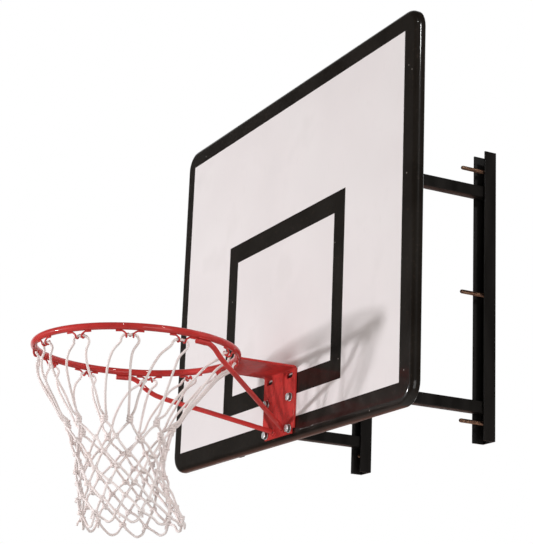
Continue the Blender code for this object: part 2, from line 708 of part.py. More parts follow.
TOWARDS_COURT = (math.pi / 2, 0, 0)
TOWARDS_WALL = (-math.pi / 2, 0, 0)
washer_y = BRACKET_FACE_Y - SEAT_GAP
head_y = washer_y - WASHER_THICKNESS - SEAT_GAP
backing_y = BOARD_BACK_Y + SEAT_GAP
nut_y = backing_y + BACKING_PLATE_THICKNESS + SEAT_GAP
ring_bolt_length = nut_y + NUT_THICKNESS + RING_BOLT_TAIL - head_y
ring_bolt_mesh = bolt_mesh("ring_bolt", RING_BOLT_DIAMETER, RING_BOLT_FLATS, RING_BOLT_HEAD, ring_bolt_length)
ring_washer_mesh = washer_mesh("ring_washer", RING_BOLT_DIAMETER, WASHER_DIAMETER, WASHER_THICKNESS)
ring_nut_mesh = nut_mesh("ring_nut", RING_BOLT_DIAMETER, RING_BOLT_FLATS, NUT_THICKNESS)
for number, (x, z) in enumerate(ring_bolt_places, 1):
    place(f"ring_washer_{number}", ring_washer_mesh, ZINC, (x, washer_y, z), TOWARDS_COURT, smooth=True)
    place(f"ring_bolt_{number}", ring_bolt_mesh, ZINC, (x, head_y, z), TOWARDS_COURT, smooth=True)
    place(f"ring_nut_{number}", ring_nut_mesh, ZINC, (x, nut_y, z), TOWARDS_WALL, smooth=True)

backing_bottom = bolt_low_z + BOLT_ROW_SPACING / 2 - BACKING_PLATE_HEIGHT / 2
backing_plate = place(
    "ring_backing_plate",
    block(
        "ring_backing_plate",
        (HOOP_OFFSET - BACKING_PLATE_WIDTH / 2, backing_y, backing_bottom),
        (HOOP_OFFSET + BACKING_PLATE_WIDTH / 2, backing_y + BACKING_PLATE_THICKNESS, backing_bottom + BACKING_PLATE_HEIGHT),
    ),
    BLACK_STEEL,
)
cut(backing_plate, *ring_drills)

# Board rails: upright hollow sections behind the board, drilled for the board's bolts
rail_y = BOARD_BACK_Y + SEAT_GAP + RAIL_SIZE / 2
rail_z = BOARD_BOTTOM_Z + RAIL_SHORT_OF_BOARD_EDGE
rail_length = BOARD_HEIGHT - 2 * RAIL_SHORT_OF_BOARD_EDGE
rail_mesh = square_tube("board_rail", RAIL_SIZE, ARM_WALL, ARM_CORNER, rail_length)
for side, name in ((-1, "board_rail_left"), (1, "board_rail_right")):
    rail = place(name, rail_mesh, BLACK_STEEL, (side * UPRIGHT_X, rail_y, rail_z), smooth=True)
    cut(rail, *[tool for tool, (x, z) in zip(board_drills, board_bolt_places) if x * side > 0])


# Board bolts: their heads are behind the rails, and their tips end inside the board
board_head_y = rail_back_y + SEAT_GAP
board_bolt_length = board_head_y - board_bolt_tip_y
board_bolt_mesh = bolt_mesh("board_bolt", BOARD_BOLT_DIAMETER, BOARD_BOLT_FLATS, BOARD_BOLT_HEAD, board_bolt_length)
for number, (x, z) in enumerate(board_bolt_places, 1):
    place(f"board_bolt_{number}", board_bolt_mesh, ZINC, (x, board_head_y, z), TOWARDS_WALL, smooth=True)

# Arms: hollow sections from the rails to the webs of the uprights
arm_start_y = rail_back_y + SEAT_GAP
arm_end_y = -UPRIGHT_WALL - SEAT_GAP
arm_mesh = square_tube("wall_arm", ARM_SIZE, ARM_WALL, ARM_CORNER, arm_end_y - arm_start_y)
for side, hand in ((-1, "left"), (1, "right")):
    for arm_z, height in ((UPPER_ARM_Z, "upper"), (LOWER_ARM_Z, "lower")):
        location = (side * UPRIGHT_X, arm_start_y, arm_z)
        place(f"{height}_arm_{hand}", arm_mesh, BLACK_STEEL, location, TOWARDS_WALL, smooth=True)

# Uprights: channels that stand with their webs on the wall and open towards the board
half_width = UPRIGHT_WIDTH / 2
inner_half = half_width - UPRIGHT_WALL
channel = [
    (-half_width, 0),
    (-half_width, -UPRIGHT_DEPTH),
    (-inner_half, -UPRIGHT_DEPTH),
    (-inner_half, -UPRIGHT_WALL),
    (inner_half, -UPRIGHT_WALL),
    (inner_half, -UPRIGHT_DEPTH),
    (half_width, -UPRIGHT_DEPTH),
    (half_width, 0),
]
channel_loops = [[(x, y, z) for x, y in channel] for z in (-UPRIGHT_LENGTH / 2, UPRIGHT_LENGTH / 2)]
channel_mesh = loft("wall_upright", channel_loops)
wall_hole_diameter = WALL_BOLT_DIAMETER + 2 * BOLT_CLEARANCE


# Wall bolts: studs that stand out of the wall, each with a nut inside its channel
def stud_mesh(name, diameter, length, tip):
    radius = diameter / 2
    loops = [circle(radius, 0), circle(radius, length - tip)]
    for i in range(1, 4):
        turn = math.radians(75 * i / 3)
        loops.append(circle(radius - tip * (1 - math.cos(turn)), length - tip + tip * math.sin(turn)))
    return loft(name, loops)


number = 0
for side, hand, length in ((-1, "left", LEFT_WALL_BOLT_LENGTH), (1, "right", RIGHT_WALL_BOLT_LENGTH)):
    wall_stud_mesh = stud_mesh("wall_bolt_" + hand, WALL_BOLT_DIAMETER, length, WALL_BOLT_TIP_ROUND)
    upright = place("wall_upright_" + hand, channel_mesh, BLACK_STEEL, (side * UPRIGHT_X, 0, 0))
    for row in (-1, 0, 1):
        number += 1
        x = side * UPRIGHT_X
        z = row * WALL_BOLT_SPACING
        cut(upright, drill(f"wall_bolt_hole_{number}", x, z, wall_hole_diameter, -UPRIGHT_WALL - 0.01, 0.01))
        place(f"wall_bolt_{number}", wall_stud_mesh, BRONZE_ZINC, (x, 0, z), TOWARDS_COURT, smooth=True)
        nut_place = (x, -UPRIGHT_WALL - SEAT_GAP, z)
        place(f"wall_nut_{number}", ring_nut_mesh, ZINC, nut_place, TOWARDS_COURT, smooth=True)
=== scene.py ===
# %% [markdown]
# # A wall-mounted basketball hoop
#
# The hoop's solids come in as a fixed frame: a backboard on a steel wall frame, a ring on a bent
# bracket, twelve wire clips and a cord net. This lesson dresses them. The two white fields keep
# their solids and get a finish. The board, plates and tubes become copies with softer edges. Round
# bars, wires, bolts and the net are made again with finer sections, because the corners of a
# twelve-sided bar show up close.

# %% Load the frame
import math

import bmesh
import bpy
from mathutils import Matrix, Vector


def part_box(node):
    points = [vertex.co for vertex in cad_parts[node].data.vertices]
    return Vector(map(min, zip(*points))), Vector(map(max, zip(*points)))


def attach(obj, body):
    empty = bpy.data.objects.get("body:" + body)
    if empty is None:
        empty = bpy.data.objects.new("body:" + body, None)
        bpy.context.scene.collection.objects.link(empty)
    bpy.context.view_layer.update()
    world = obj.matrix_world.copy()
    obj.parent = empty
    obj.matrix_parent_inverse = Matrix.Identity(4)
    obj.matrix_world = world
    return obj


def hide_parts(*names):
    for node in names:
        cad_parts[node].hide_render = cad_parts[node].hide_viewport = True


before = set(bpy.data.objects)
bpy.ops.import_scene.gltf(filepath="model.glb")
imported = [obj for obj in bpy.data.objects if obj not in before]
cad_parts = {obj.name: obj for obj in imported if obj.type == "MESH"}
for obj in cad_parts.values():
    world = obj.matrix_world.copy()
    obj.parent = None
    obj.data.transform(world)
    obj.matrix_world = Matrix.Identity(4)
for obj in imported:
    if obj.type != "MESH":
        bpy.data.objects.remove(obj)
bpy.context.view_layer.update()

# %% [markdown]
# ## The camera
#
# The photograph looks at the hoop from the right and from below the ring. The straight edges of the
# board and the round of the ring fix where the camera stood and how long its lens was, in pixels of
# the photograph. A long lens from four metres keeps the verticals nearly parallel.

# %% Stand the camera
PHOTO_HEIGHT = 544
SENSOR = 36.0
FOCAL_PIXELS = 1731.9
CAMERA_PLACE = Vector((3.6006, -2.2725, -1.0948))
CAMERA_AZIMUTH = math.radians(63.2396)
CAMERA_ELEVATION = math.radians(15.871)
CAMERA_ROLL = math.radians(2.3029)

scene = bpy.context.scene


def new_object(name, data):
    """Puts a camera, a lamp or a mesh into the scene."""
    thing = bpy.data.objects.new(name, data)
    scene.collection.objects.link(thing)
    return thing


flat_right = Vector((math.cos(CAMERA_AZIMUTH), math.sin(CAMERA_AZIMUTH), 0))
flat_ahead = Vector((-math.sin(CAMERA_AZIMUTH), math.cos(CAMERA_AZIMUTH), 0))
ahead = flat_ahead * math.cos(CAMERA_ELEVATION)
ahead.z = math.sin(CAMERA_ELEVATION)
flat_up = flat_right.cross(ahead)
right = flat_right * math.cos(CAMERA_ROLL) + flat_up * math.sin(CAMERA_ROLL)
up = flat_up * math.cos(CAMERA_ROLL) - flat_right * math.sin(CAMERA_ROLL)

camera_data = bpy.data.cameras.new("photo_camera")
camera_data.sensor_width = SENSOR
camera_data.lens = FOCAL_PIXELS * SENSOR / PHOTO_HEIGHT
camera_data.clip_start = 0.05
camera_data.clip_end = 60
camera = new_object("photo_camera", camera_data)
turned = Matrix((right, up, -ahead)).transposed().to_4x4()
camera.matrix_world = Matrix.Translation(CAMERA_PLACE) @ turned
scene.camera = camera
scene.view_settings.view_transform = "Standard"
print("lens:", round(camera_data.lens, 1), "mm")

# %% [markdown]
# ## Building blocks for nodes
#
# The world, the floor and every finish are small trees of nodes. One helper makes a node and one
# feeds a socket. Three more do the rest: arithmetic on two values, a value eased between two
# limits, and one colour laid over another.

# %% Helpers for nodes
def add_node(beside, kind, **settings):
    """A new node in the tree of another node or socket, with settings such as its operation."""
    node = beside.id_data.nodes.new("ShaderNode" + kind)
    for name, value in settings.items():
        setattr(node, name, value)
    return node


def feed(socket, value):
    """Gives a socket a number, a colour or the output of another node."""
    if isinstance(value, bpy.types.NodeSocket):
        socket.id_data.links.new(value, socket)
    else:
        socket.default_value = (*value, 1) if isinstance(value, tuple) else value


def worked_out(operation, first, second):
    node = add_node(first, "Math", operation=operation)
    feed(node.inputs[0], first)
    feed(node.inputs[1], second)
    return node.outputs[0]


def ranged(value, low, high, to_low=0.0, to_high=1.0):
    """The part of a value between low and high, eased from to_low to to_high."""
    node = add_node(value, "MapRange", interpolation_type="SMOOTHSTEP")
    for socket, given in zip(node.inputs, (value, low, high, to_low, to_high)):
        feed(socket, given)
    return node.outputs["Result"]


def laid_over(factor, under, over):
    node = add_node(factor, "Mix", data_type="RGBA")
    for number, value in ((0, factor), (6, under), (7, over)):
        feed(node.inputs[number], value)
    return node.outputs[2]


print("node helpers ready")

# %% [markdown]
# ## The studio
#
# The world gives an even light from all round. Behind the hoop the camera sees white. Glossy paint
# and zinc see that backdrop too, but only where it hung: in front of the board the studio was dim,
# so the black edge stays black. A warm floor shines faintly in the rounded edges.

# %% Light from all round
FILL_LIGHT = (0.398, 0.380, 0.357)
DIM_STUDIO = (0.040, 0.037, 0.034)
BACKDROP = (1.0, 1.0, 1.0)
WARM_FLOOR = (0.40, 0.16, 0.11)
TO_WARM_FLOOR = Vector((-0.30, 0.35, -0.89))

world = bpy.data.worlds.new("studio")
scene.world = world
world.use_nodes = True
sky = world.node_tree
ray = add_node(sky, "LightPath").outputs
heading = add_node(sky, "TexCoord").outputs["Generated"]


def towards(direction, start, full):
    """0 to 1 as a ray turns towards a direction, between two cosines."""
    dot = add_node(sky, "VectorMath", operation="DOT_PRODUCT")
    feed(dot.inputs[0], heading)
    feed(dot.inputs[1], direction)
    return ranged(dot.outputs["Value"], start, full)


reflected = laid_over(towards(ahead, 0.72, 0.90), DIM_STUDIO, BACKDROP)
reflected = laid_over(towards(TO_WARM_FLOOR, 0.50, 0.65), reflected, WARM_FLOOR)
reflecting = worked_out("MAXIMUM", ray["Is Glossy Ray"], ray["Is Transmission Ray"])
lit = laid_over(reflecting, FILL_LIGHT, reflected)
seen = laid_over(ray["Is Camera Ray"], lit, BACKDROP)
feed(sky.nodes["Background"].inputs["Color"], seen)
print("world: even fill", FILL_LIGHT)

# %% [markdown]
# The ring's shadow falls up and to the right on the board, so the main lamp stood to the left of
# the hoop, a little below the ring. Its edge is soft, so the lamp has a size. The narrow streaks on
# the ring mirror two small lamps high at the right, and a broad soft one stands lower there. Two of
# the three see the board almost edge-on, so they hardly light it.

# %% The main lamp and three at the right
LAMP_AIM = Vector((0.1, -0.6, -0.1))
NEUTRAL = (1, 1, 1)
# Name, direction from the hoop, distance and size in metres, power in watts, colour
LAMPS = (
    ("main_lamp", (-0.44, -1.0, -0.105), 3.4, 0.22, 81, (0.985, 0.98, 1.0)),
    ("high_lamp", (0.85, 0.02, 0.50), 3.2, 0.25, 20, NEUTRAL),
    ("streak_lamp", (0.50, -0.50, 0.70), 3.2, 0.12, 7, NEUTRAL),
    ("side_lamp", (1.0, -0.08, -0.25), 3.2, 1.8, 28, NEUTRAL),
)

for name, direction, distance, size, power, colour in LAMPS:
    lamp_data = bpy.data.lights.new(name, "AREA")
    lamp_data.size = size
    lamp_data.energy = power
    lamp_data.color = colour
    lamp = new_object(name, lamp_data)
    away = Vector(direction).normalized()
    lamp.location = LAMP_AIM + away * distance
    lamp.rotation_mode = "QUATERNION"
    lamp.rotation_quaternion = (-away).to_track_quat("-Z", "Y")
print("lamps:", len(LAMPS))

# %% [markdown]
# ## Building blocks for finishes
#
# Every finish is a Principled shader with noise behind its colour, roughness and bump. The solids
# are in metres and stay at the origin, so object coordinates are real metres, and a noise scale is
# a number of spots per metre.

# %% Helpers for finishes
def start_finish(name, settings):
    """A new material with its shader and the place in metres."""
    material = bpy.data.materials.new(name)
    material.use_nodes = True
    shader = material.node_tree.nodes["Principled BSDF"]
    for socket, value in settings.items():
        feed(shader.inputs[socket], value)
    print("finish:", name)
    return material, shader, add_node(shader, "TexCoord").outputs["Object"]


def spots(place, per_metre, detail, stretch=None):
    """Noise with so many spots per metre, drawn out along an axis by stretch."""
    if stretch:
        mapping = add_node(place, "Mapping")
        mapping.inputs["Scale"].default_value = stretch
        feed(mapping.inputs["Vector"], place)
        place = mapping.outputs["Vector"]
    noise = add_node(place, "TexNoise")
    feed(noise.inputs["Scale"], per_metre)
    feed(noise.inputs["Detail"], detail)
    feed(noise.inputs["Vector"], place)
    return noise.outputs["Fac"]


def coloured(value, *stops):
    """Colour ramp through (position, colour) stops."""
    node = add_node(value, "ValToRGB")
    elements = node.color_ramp.elements
    while len(elements) < len(stops):
        elements.new(0.5)
    for element, (position, colour) in zip(elements, stops):
        element.position = position
        element.color = (*colour, 1)
    feed(node.inputs["Fac"], value)
    return node.outputs["Color"]


def end_finish(shader, colour, gloss, *layers):
    """Feeds the shader, with bump from (height, depth in metres) layers, the coarse ones first."""
    feed(shader.inputs["Base Color"], colour)
    if gloss:
        feed(shader.inputs["Roughness"], gloss)
    normal = None
    for height, depth in layers:
        bump = add_node(shader, "Bump")
        feed(bump.inputs["Distance"], depth)
        feed(bump.inputs["Height"], height)
        if normal:
            feed(bump.inputs["Normal"], normal)
        normal = bump.outputs["Normal"]
    feed(shader.inputs["Normal"], normal)


print("finish helpers ready")

# %% [markdown]
# ## The floor
#
# The ring of a real hoop is 3.05 m above the court, so a plain pale floor lies that far below it.
# The photograph's camera looks up and doesn't see it, but a view from above does. Its rim fades
# into the white background.

# %% Lay the floor
RING_HEIGHT = 3.05
FLOOR_RADIUS = 7.0
FLOOR_LIFT = 0.48

ring_low, ring_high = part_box("ring")
floor_mesh = bpy.data.meshes.new("floor")
disc = bmesh.new()
bmesh.ops.create_circle(disc, cap_ends=True, segments=96, radius=FLOOR_RADIUS)
disc.to_mesh(floor_mesh)
disc.free()
floor = new_object("floor", floor_mesh)
floor.location = (0, -0.5, (ring_low.z + ring_high.z) / 2 - RING_HEIGHT)

FLOOR = {"Roughness": 0.9, "Base Color": (0.80, 0.80, 0.80), "Emission Color": (1, 1, 1)}
pale_floor, shader, place = start_finish("pale_floor", FLOOR)
seen_ray = add_node(shader, "LightPath").outputs["Is Camera Ray"]
feed(shader.inputs["Emission Strength"], worked_out("MULTIPLY", seen_ray, FLOOR_LIFT))
distance = add_node(shader, "VectorMath", operation="LENGTH")
feed(distance.inputs[0], place)
blend = add_node(shader, "MixShader")
fade = ranged(distance.outputs["Value"], FLOOR_RADIUS * 0.35, FLOOR_RADIUS * 0.95)
clear = add_node(shader, "BsdfTransparent").outputs[0]
for socket, value in zip(blend.inputs, (fade, shader.outputs[0], clear)):
    feed(socket, value)
feed(pale_floor.node_tree.nodes["Material Output"].inputs["Surface"], blend.outputs[0])
floor_mesh.materials.append(pale_floor)
print("floor at", round(floor.location.z, 2), "m")

# %% [markdown]
# ## Black moulding
#
# The edge of the board and the line of the target are bare black plastic, satin and faintly
# grained. Handling leaves it uneven in gloss, so noise drives roughness more than colour. A thin
# gloss on the skin draws fine lines of light on the rounded edges. On the front a few specks of the
# printed white are left on the black.

# %% Mix the black moulding
PALE_DUST = (0.036, 0.024, 0.017)
STRAY_WHITE = (0.50, 0.45, 0.42)
FLECKS_PER_METRE = 28
FLECKS_END = (0.003, 0.006)

SKIN = {"Roughness": 0.40, "Specular IOR Level": 0.12, "Coat Weight": 0.5, "Coat Roughness": 0.09}
black_moulding, shader, place = start_finish("black_moulding_finish", SKIN)
cloud = spots(place, 9, 4)
shade = coloured(cloud, (0.30, (0.0070, 0.0050, 0.0036)), (0.70, (0.0120, 0.0090, 0.0066)))
dust = ranged(spots(place, 120, 3), 0.58, 0.76, 0.0, 0.55)
dusty = laid_over(dust, shade, PALE_DUST)
grains = add_node(shader, "TexVoronoi")
feed(grains.inputs["Scale"], FLECKS_PER_METRE)
feed(grains.inputs["Vector"], place)
depth = add_node(shader, "SeparateXYZ")
feed(depth.inputs["Vector"], place)
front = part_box("backboard")[0].y
near_front = ranged(depth.outputs["Y"], front + FLECKS_END[0], front + FLECKS_END[1], 0.7, 0.0)
grain = ranged(grains.outputs["Distance"], 0.035, 0.055, 1.0, 0.0)
fleck = worked_out("MULTIPLY", grain, near_front)
flecked = laid_over(fleck, dusty, STRAY_WHITE)
gloss = ranged(cloud, 0.30, 0.70, 0.33, 0.47)
bumps = (spots(place, 40, 2), 0.0003), (spots(place, 900, 2), 0.00006)
end_finish(shader, flecked, gloss, *bumps)

# %% [markdown]
# ## White field
#
# The white is a thin printed coat over the moulding. Close up it is faintly pink with grey clouds,
# and balls have left soft grey smudges. All of that stays within a few per cent, or the board would
# look dirty from afar.

# %% Mix the white paint
WHITES = (0.30, (0.760, 0.716, 0.722)), (0.50, (0.790, 0.742, 0.748)), (0.72, (0.800, 0.760, 0.764))
BALL_GREY = (0.56, 0.53, 0.52)
FIBRE_GREY = (0.60, 0.56, 0.55)

PRINTED = {"Roughness": 0.50, "Specular IOR Level": 0.35}
white_paint, shader, place = start_finish("white_paint_finish", PRINTED)
field = coloured(spots(place, 3.2, 5), *WHITES)
smudge = spots(place, 8.0, 2)
fibre = spots(place, 90, 4, (1.0, 1.0, 0.25))
worn = laid_over(ranged(smudge, 0.58, 0.78, 0.0, 0.16), field, BALL_GREY)
fibred = laid_over(ranged(fibre, 0.60, 0.76, 0.0, 0.10), worn, FIBRE_GREY)
gloss = ranged(smudge, 0.40, 0.70, 0.44, 0.58)
end_finish(shader, fibred, gloss, (spots(place, 30, 2), 0.0002), (fibre, 0.00005))

# %% [markdown]
# ## Red paint
#
# Ring, bracket, stays and clips are dipped in one glossy red enamel. It pools a little, which gives
# a slow orange-peel ripple, and small chips are knocked off. A clear coat makes the narrow white
# highlights along the bars. The flat bracket is duller, with darker patches where balls have rubbed
# it, so one recipe mixes two finishes.

# %% Mix the red paint
REDS = (0.28, (0.450, 0.030, 0.027)), (0.55, (0.540, 0.037, 0.033)), (0.78, (0.590, 0.048, 0.042))
RUBBED = (0.270, 0.026, 0.022)
CHIPPED = (0.085, 0.018, 0.016)


def mix_red(name, coat, wear):
    """Red enamel with a clear coat, and darker rubbed patches where wear is above nought."""
    enamel = {"Roughness": 0.42, "Specular IOR Level": 0.10, "Coat Roughness": 0.05}
    material, shader, place = start_finish(name, {**enamel, "Coat Weight": coat})
    cloud = spots(place, 24, 4)
    patches = ranged(spots(place, 95, 4), 0.46, 0.70, 0.0, wear)
    rubbed = laid_over(patches, coloured(cloud, *REDS), RUBBED)
    chips = ranged(spots(place, 150, 5, (1.0, 1.0, 0.45)), 0.705, 0.735, 0.0, 0.85)
    gloss = ranged(cloud, 0.30, 0.70, 0.36, 0.50)
    bumps = (spots(place, 110, 2), 0.00015), (spots(place, 520, 2), 0.00005)
    end_finish(shader, laid_over(chips, rubbed, CHIPPED), gloss, *bumps)
    return material


red_paint = mix_red("red_paint_finish", 0.55, 0.0)
rubbed_red = mix_red("rubbed_red_finish", 0.15, 0.5)

# %% [markdown]
# ## Black steel
#
# The wall frame is rolled steel under a thin matt black coat. Rolling leaves long faint streaks,
# so one noise is drawn out upwards, and dust settles in the grain.

# %% Mix the black steel
STEEL_DUST = (0.050, 0.043, 0.037)

MATT_COAT = {"Roughness": 0.46, "Specular IOR Level": 0.30}
black_steel, shader, place = start_finish("black_steel_finish", MATT_COAT)
streak = spots(place, 30, 4, (1.0, 1.0, 0.15))
shade = coloured(streak, (0.30, (0.0062, 0.0052, 0.0045)), (0.70, (0.0115, 0.0092, 0.0078)))
dust = ranged(spots(place, 340, 3), 0.64, 0.80, 0.0, 0.30)
gloss = ranged(streak, 0.30, 0.70, 0.38, 0.54)
bumps = (spots(place, 60, 2), 0.0003), (spots(place, 700, 2), 0.0001)
end_finish(shader, laid_over(dust, shade, STEEL_DUST), gloss, *bumps)

# %% [markdown]
# ## Bright zinc and bronze zinc
#
# The ring's bolts are bright zinc, and the wall studs are zinc passivated to a warm bronze. Zinc
# grows in small patches, so both mix three tones of metal with a patchy gloss, and the bronze wears
# to a darker brown in places. Points of a mesh that are marked on a bolt's flanks get painted
# shade, almost black, for the dark that those flanks show.

# %% Mix both kinds of zinc
BRIGHT_TONES = ((0.62, 0.64, 0.64), (0.76, 0.78, 0.78), (0.84, 0.86, 0.85))
BRONZE_TONES = ((0.17, 0.09, 0.07), (0.36, 0.20, 0.13), (0.48, 0.31, 0.20))
# Painted shade for the dark flanks of the bolts, almost black
PAINTED_FLANK_SHADE = (0.035, 0.028, 0.024)


def mix_zinc(name, tones, roughness, per_metre, metallic):
    material, shader, place = start_finish(name, {"Roughness": roughness[0], "Metallic": metallic})
    patch = spots(place, per_metre, 4)
    shades = coloured(patch, *zip((0.32, 0.52, 0.70), tones))
    # Points marked on a bolt's flanks are darkened almost to black: painted shade
    flank_shade = add_node(shader, "Attribute", attribute_name="flank_shade").outputs["Fac"]
    flank_shaded = laid_over(ranged(flank_shade, 0.0, 1.0, 0.0, 0.85), shades, PAINTED_FLANK_SHADE)
    gloss = ranged(patch, 0.30, 0.70, *roughness)
    end_finish(shader, flank_shaded, gloss, (spots(place, per_metre * 4, 2), 0.00008))
    return material


bright_zinc = mix_zinc("bright_zinc_finish", BRIGHT_TONES, (0.32, 0.48), 320, 0.88)
bronze_zinc = mix_zinc("bronze_zinc_finish", BRONZE_TONES, (0.30, 0.48), 180, 1.0)

# %% [markdown]
# ## White cord
#
# The net is tied from three-strand cord. The strands are modelled further down, and each point of
# the cord is marked as lying in a groove or not. The finish reads that mark: grooves are painted a
# brownish tone that is partly dirt and partly painted shade, more in some lengths than in others,
# and the crowns stay a warm white. Fine noise stands for the fibres.

# %% Mix the cord
# Brown for the grooves between the strands: dirt and painted shade
GROOVE_SHADE_AND_DIRT = (0.58, 0.38, 0.29)

FIBRES = {"Roughness": 0.85, "Specular IOR Level": 0.2, "Sheen Weight": 0.15}
white_cord, shader, place = start_finish("white_cord_finish", FIBRES)
groove = add_node(shader, "Attribute", attribute_name="groove").outputs["Fac"]
cloud = spots(place, 26, 4)
crown = coloured(cloud, (0.30, (0.910, 0.808, 0.793)), (0.60, (0.945, 0.872, 0.862)))
groove_amount = ranged(spots(place, 15, 2), 0.38, 0.62, 0.20, 0.95)
# Grooves are darkened brown, partly as dirt and partly as painted shade
groove_shade_and_dirt = worked_out("MULTIPLY", ranged(groove, 0.25, 1.0, 0.0, 0.70), groove_amount)
groove_darkened = laid_over(groove_shade_and_dirt, crown, GROOVE_SHADE_AND_DIRT)
end_finish(shader, groove_darkened, None, (spots(place, 1500, 3), 0.0001))

# %% [markdown]
# ## Building blocks for shapes
#
# Bars, wires, cords and weld beads are all one idea: a loop of points carried along a path. The
# loop is turned as little as possible on the way, so the tube doesn't twist by itself. A path is a
# smooth curve eased through a few points. The pull of each neighbour is divided by the root of its
# distance, so that no bend overshoots.

# %% Ease a path and carry loops along it
def eased(points, step):
    """Smooth curve through the points, sampled about every step metres."""
    points = [Vector(point) for point in points]
    ends = [2 * points[0] - points[1], *points, 2 * points[-1] - points[-2]]
    smooth = []
    for before, start, end, after in zip(ends, ends[1:], ends[2:], ends[3:]):
        pairs = (before, start), (start, end), (end, after)
        in_gap, gap, out_gap = [(b - a).length ** 0.5 for a, b in pairs]
        count = max(1, round((end - start).length / step))
        chord = (end - start) / gap
        leaving = gap * ((start - before) / in_gap - (end - before) / (in_gap + gap) + chord)
        arriving = gap * (chord - (after - start) / (gap + out_gap) + (after - end) / out_gap)
        bend = 3 * (end - start) - 2 * leaving - arriving
        settle = 2 * (start - end) + leaving + arriving
        for i in range(count):
            t = i / count
            smooth.append(start + t * leaving + t * t * bend + t**3 * settle)
    smooth.append(points[-1])
    return smooth


def path_length(path):
    return sum((b - a).length for a, b in zip(path, path[1:]))


def carried(points, section, closed=False):
    """Loops round a path. section(distance) gives a loop as (across, up) pairs."""
    loops, side, distance = [], None, 0.0
    count = len(points)
    for i, point in enumerate(points):
        after = points[(i + 1) % count] if closed else points[min(i + 1, count - 1)]
        before = points[i - 1] if closed or i else point
        along = (after - before).normalized()
        side = side or along.orthogonal()
        side = (side - along * side.dot(along)).normalized()
        top = along.cross(side)
        loops.append([point + across * side + rise * top for across, rise in section(distance)])
        if i + 1 < count:
            distance += (points[i + 1] - point).length
    return loops


def turns_of(sides):
    return [2 * math.pi * i / sides for i in range(sides)]


def round_section(radius, sides):
    ring = [(radius * math.cos(turn), radius * math.sin(turn)) for turn in turns_of(sides)]
    return lambda distance: ring


print("path helpers ready")

# %% [markdown]
# A mould collects such loops. Each is joined to the next by a band of four-cornered faces, and an
# open tube gets a cap at each end. One mould takes many tubes, so a net or a set of weld beads is a
# single piece. It can also keep a number for each point, which a finish reads.

# %% Collect loops into a mesh and place it as a piece
class Mould:
    def __init__(self):
        self.points, self.faces, self.marks = [], [], []

    def add(self, loops, joined=False, marks=None):
        """Skins the loops. marks holds one number per point of a loop."""
        start = len(self.points)
        size = len(loops[0])
        for loop in loops:
            self.points += loop
            self.marks += marks or [0.0] * size
        rows = [range(start + size * i, start + size * (i + 1)) for i in range(len(loops))]
        for low, high in zip(rows, rows[1:] + (rows[:1] if joined else [])):
            for i in range(size):
                j = (i + 1) % size
                self.faces.append((low[i], low[j], high[j], high[i]))
        if not joined:
            self.faces += [tuple(rows[0][::-1]), tuple(rows[-1])]

    def mesh(self, mark=None):
        mesh = bpy.data.meshes.new("moulded")
        mesh.from_pydata(self.points, [], self.faces)
        if mark:
            mesh.attributes.new(mark, "FLOAT", "POINT").data.foreach_set("value", self.marks)
        shape = bmesh.new()
        shape.from_mesh(mesh)
        bmesh.ops.recalc_face_normals(shape, faces=shape.faces)
        shape.to_mesh(mesh)
        shape.free()
        return mesh


def skinned(loops, joined=False):
    mould = Mould()
    mould.add(loops, joined)
    return mould.mesh()


def add_piece(name, mesh, finish, *stands_for, sharp=40, slot=None):
    """Places a mesh as a piece of the hoop, instead of solids of the frame."""
    slot = slot or finish.name.removesuffix("_finish")
    mesh.name = name
    mesh.materials.clear()
    mesh.materials.append(finish)
    mesh.shade_smooth()
    mesh.set_sharp_from_angle(angle=math.radians(sharp))
    piece = new_object(name, mesh)
    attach(piece, "root")
    if stands_for:
        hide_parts(*stands_for)
    return piece


print("mould ready")

# %% [markdown]
# ## The ring
#
# The ring is a 16 mm bar bent to a circle of 450 mm inside, with its ends butt-welded where the
# bracket hides the seam. A loop carried round a circle makes it, and the box of its solid gives its
# size and place.

# %% Bend the ring
RING_STEPS = 160
RING_SIDES = 28

ring_centre = (ring_low + ring_high) / 2
bar_radius = (ring_high.z - ring_low.z) / 2
ring_radius = (ring_high.x - ring_low.x) / 2 - bar_radius


def polar(reach, turn, height=0.0):
    """Point by its distance from an upright axis, its angle and its height."""
    return Vector((reach * math.cos(turn), reach * math.sin(turn), height))


def round_ring(angle, along=0.0, outward=0.0, drop=0.0):
    """Point by its angle, its place along the bar, its distance outwards and its drop."""
    turn = math.radians(angle) + along / ring_radius
    return ring_centre + polar(ring_radius + outward, turn, -drop)


circle = [round_ring(360 * i / RING_STEPS) for i in range(RING_STEPS)]
loops = carried(circle, round_section(bar_radius, RING_SIDES), closed=True)
add_piece("ring_bar", skinned(loops, joined=True), red_paint, "ring")
print("ring:", round(2000 * (ring_radius - bar_radius), 1), "mm inside")

# %% [markdown]
# ## The stays
#
# Two 12 mm bars brace the ring. Each lies along the ring's underside for a short weld, swings down
# in an easy bend and runs straight to the bracket's foot. The left one mirrors the right one about
# the ring's middle. Like all pieces that touch, stay and ring keep a hair's gap.

# %% Bend the stays
SEAT_GAP = 0.0003
STAY_RADIUS = 0.006
STAY_SIDES = 20
STAY_WELD = (11.5, 20.5)
# Angle, distance outwards and drop
STAY_SWING = (24.5, 0.001, 0.007), (29.0, 0.004, 0.023), (33.0, 0.007, 0.034), (36.5, 0.009, 0.041)
STAY_FOOT = (0.025, 0.016)
PLATE = 0.005

bracket_low, bracket_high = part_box("ring_bracket")
foot = Vector((ring_centre.x + STAY_FOOT[0], bracket_high.y - PLATE, bracket_low.z + STAY_FOOT[1]))
stay_drop = bar_radius + SEAT_GAP + STAY_RADIUS


def weld_line(parts, outward, drop):
    """Points under the ring, along the weld of the right stay."""
    span = STAY_WELD[1] - STAY_WELD[0]
    return [round_ring(STAY_WELD[0] + span * i / parts, 0, outward, drop) for i in range(parts + 1)]


def mirrored(points, side):
    """The points themselves, or with side -1 their mirror image in the middle of the ring."""
    middle = ring_centre.x
    return [Vector((middle + side * (point.x - middle), point.y, point.z)) for point in points]


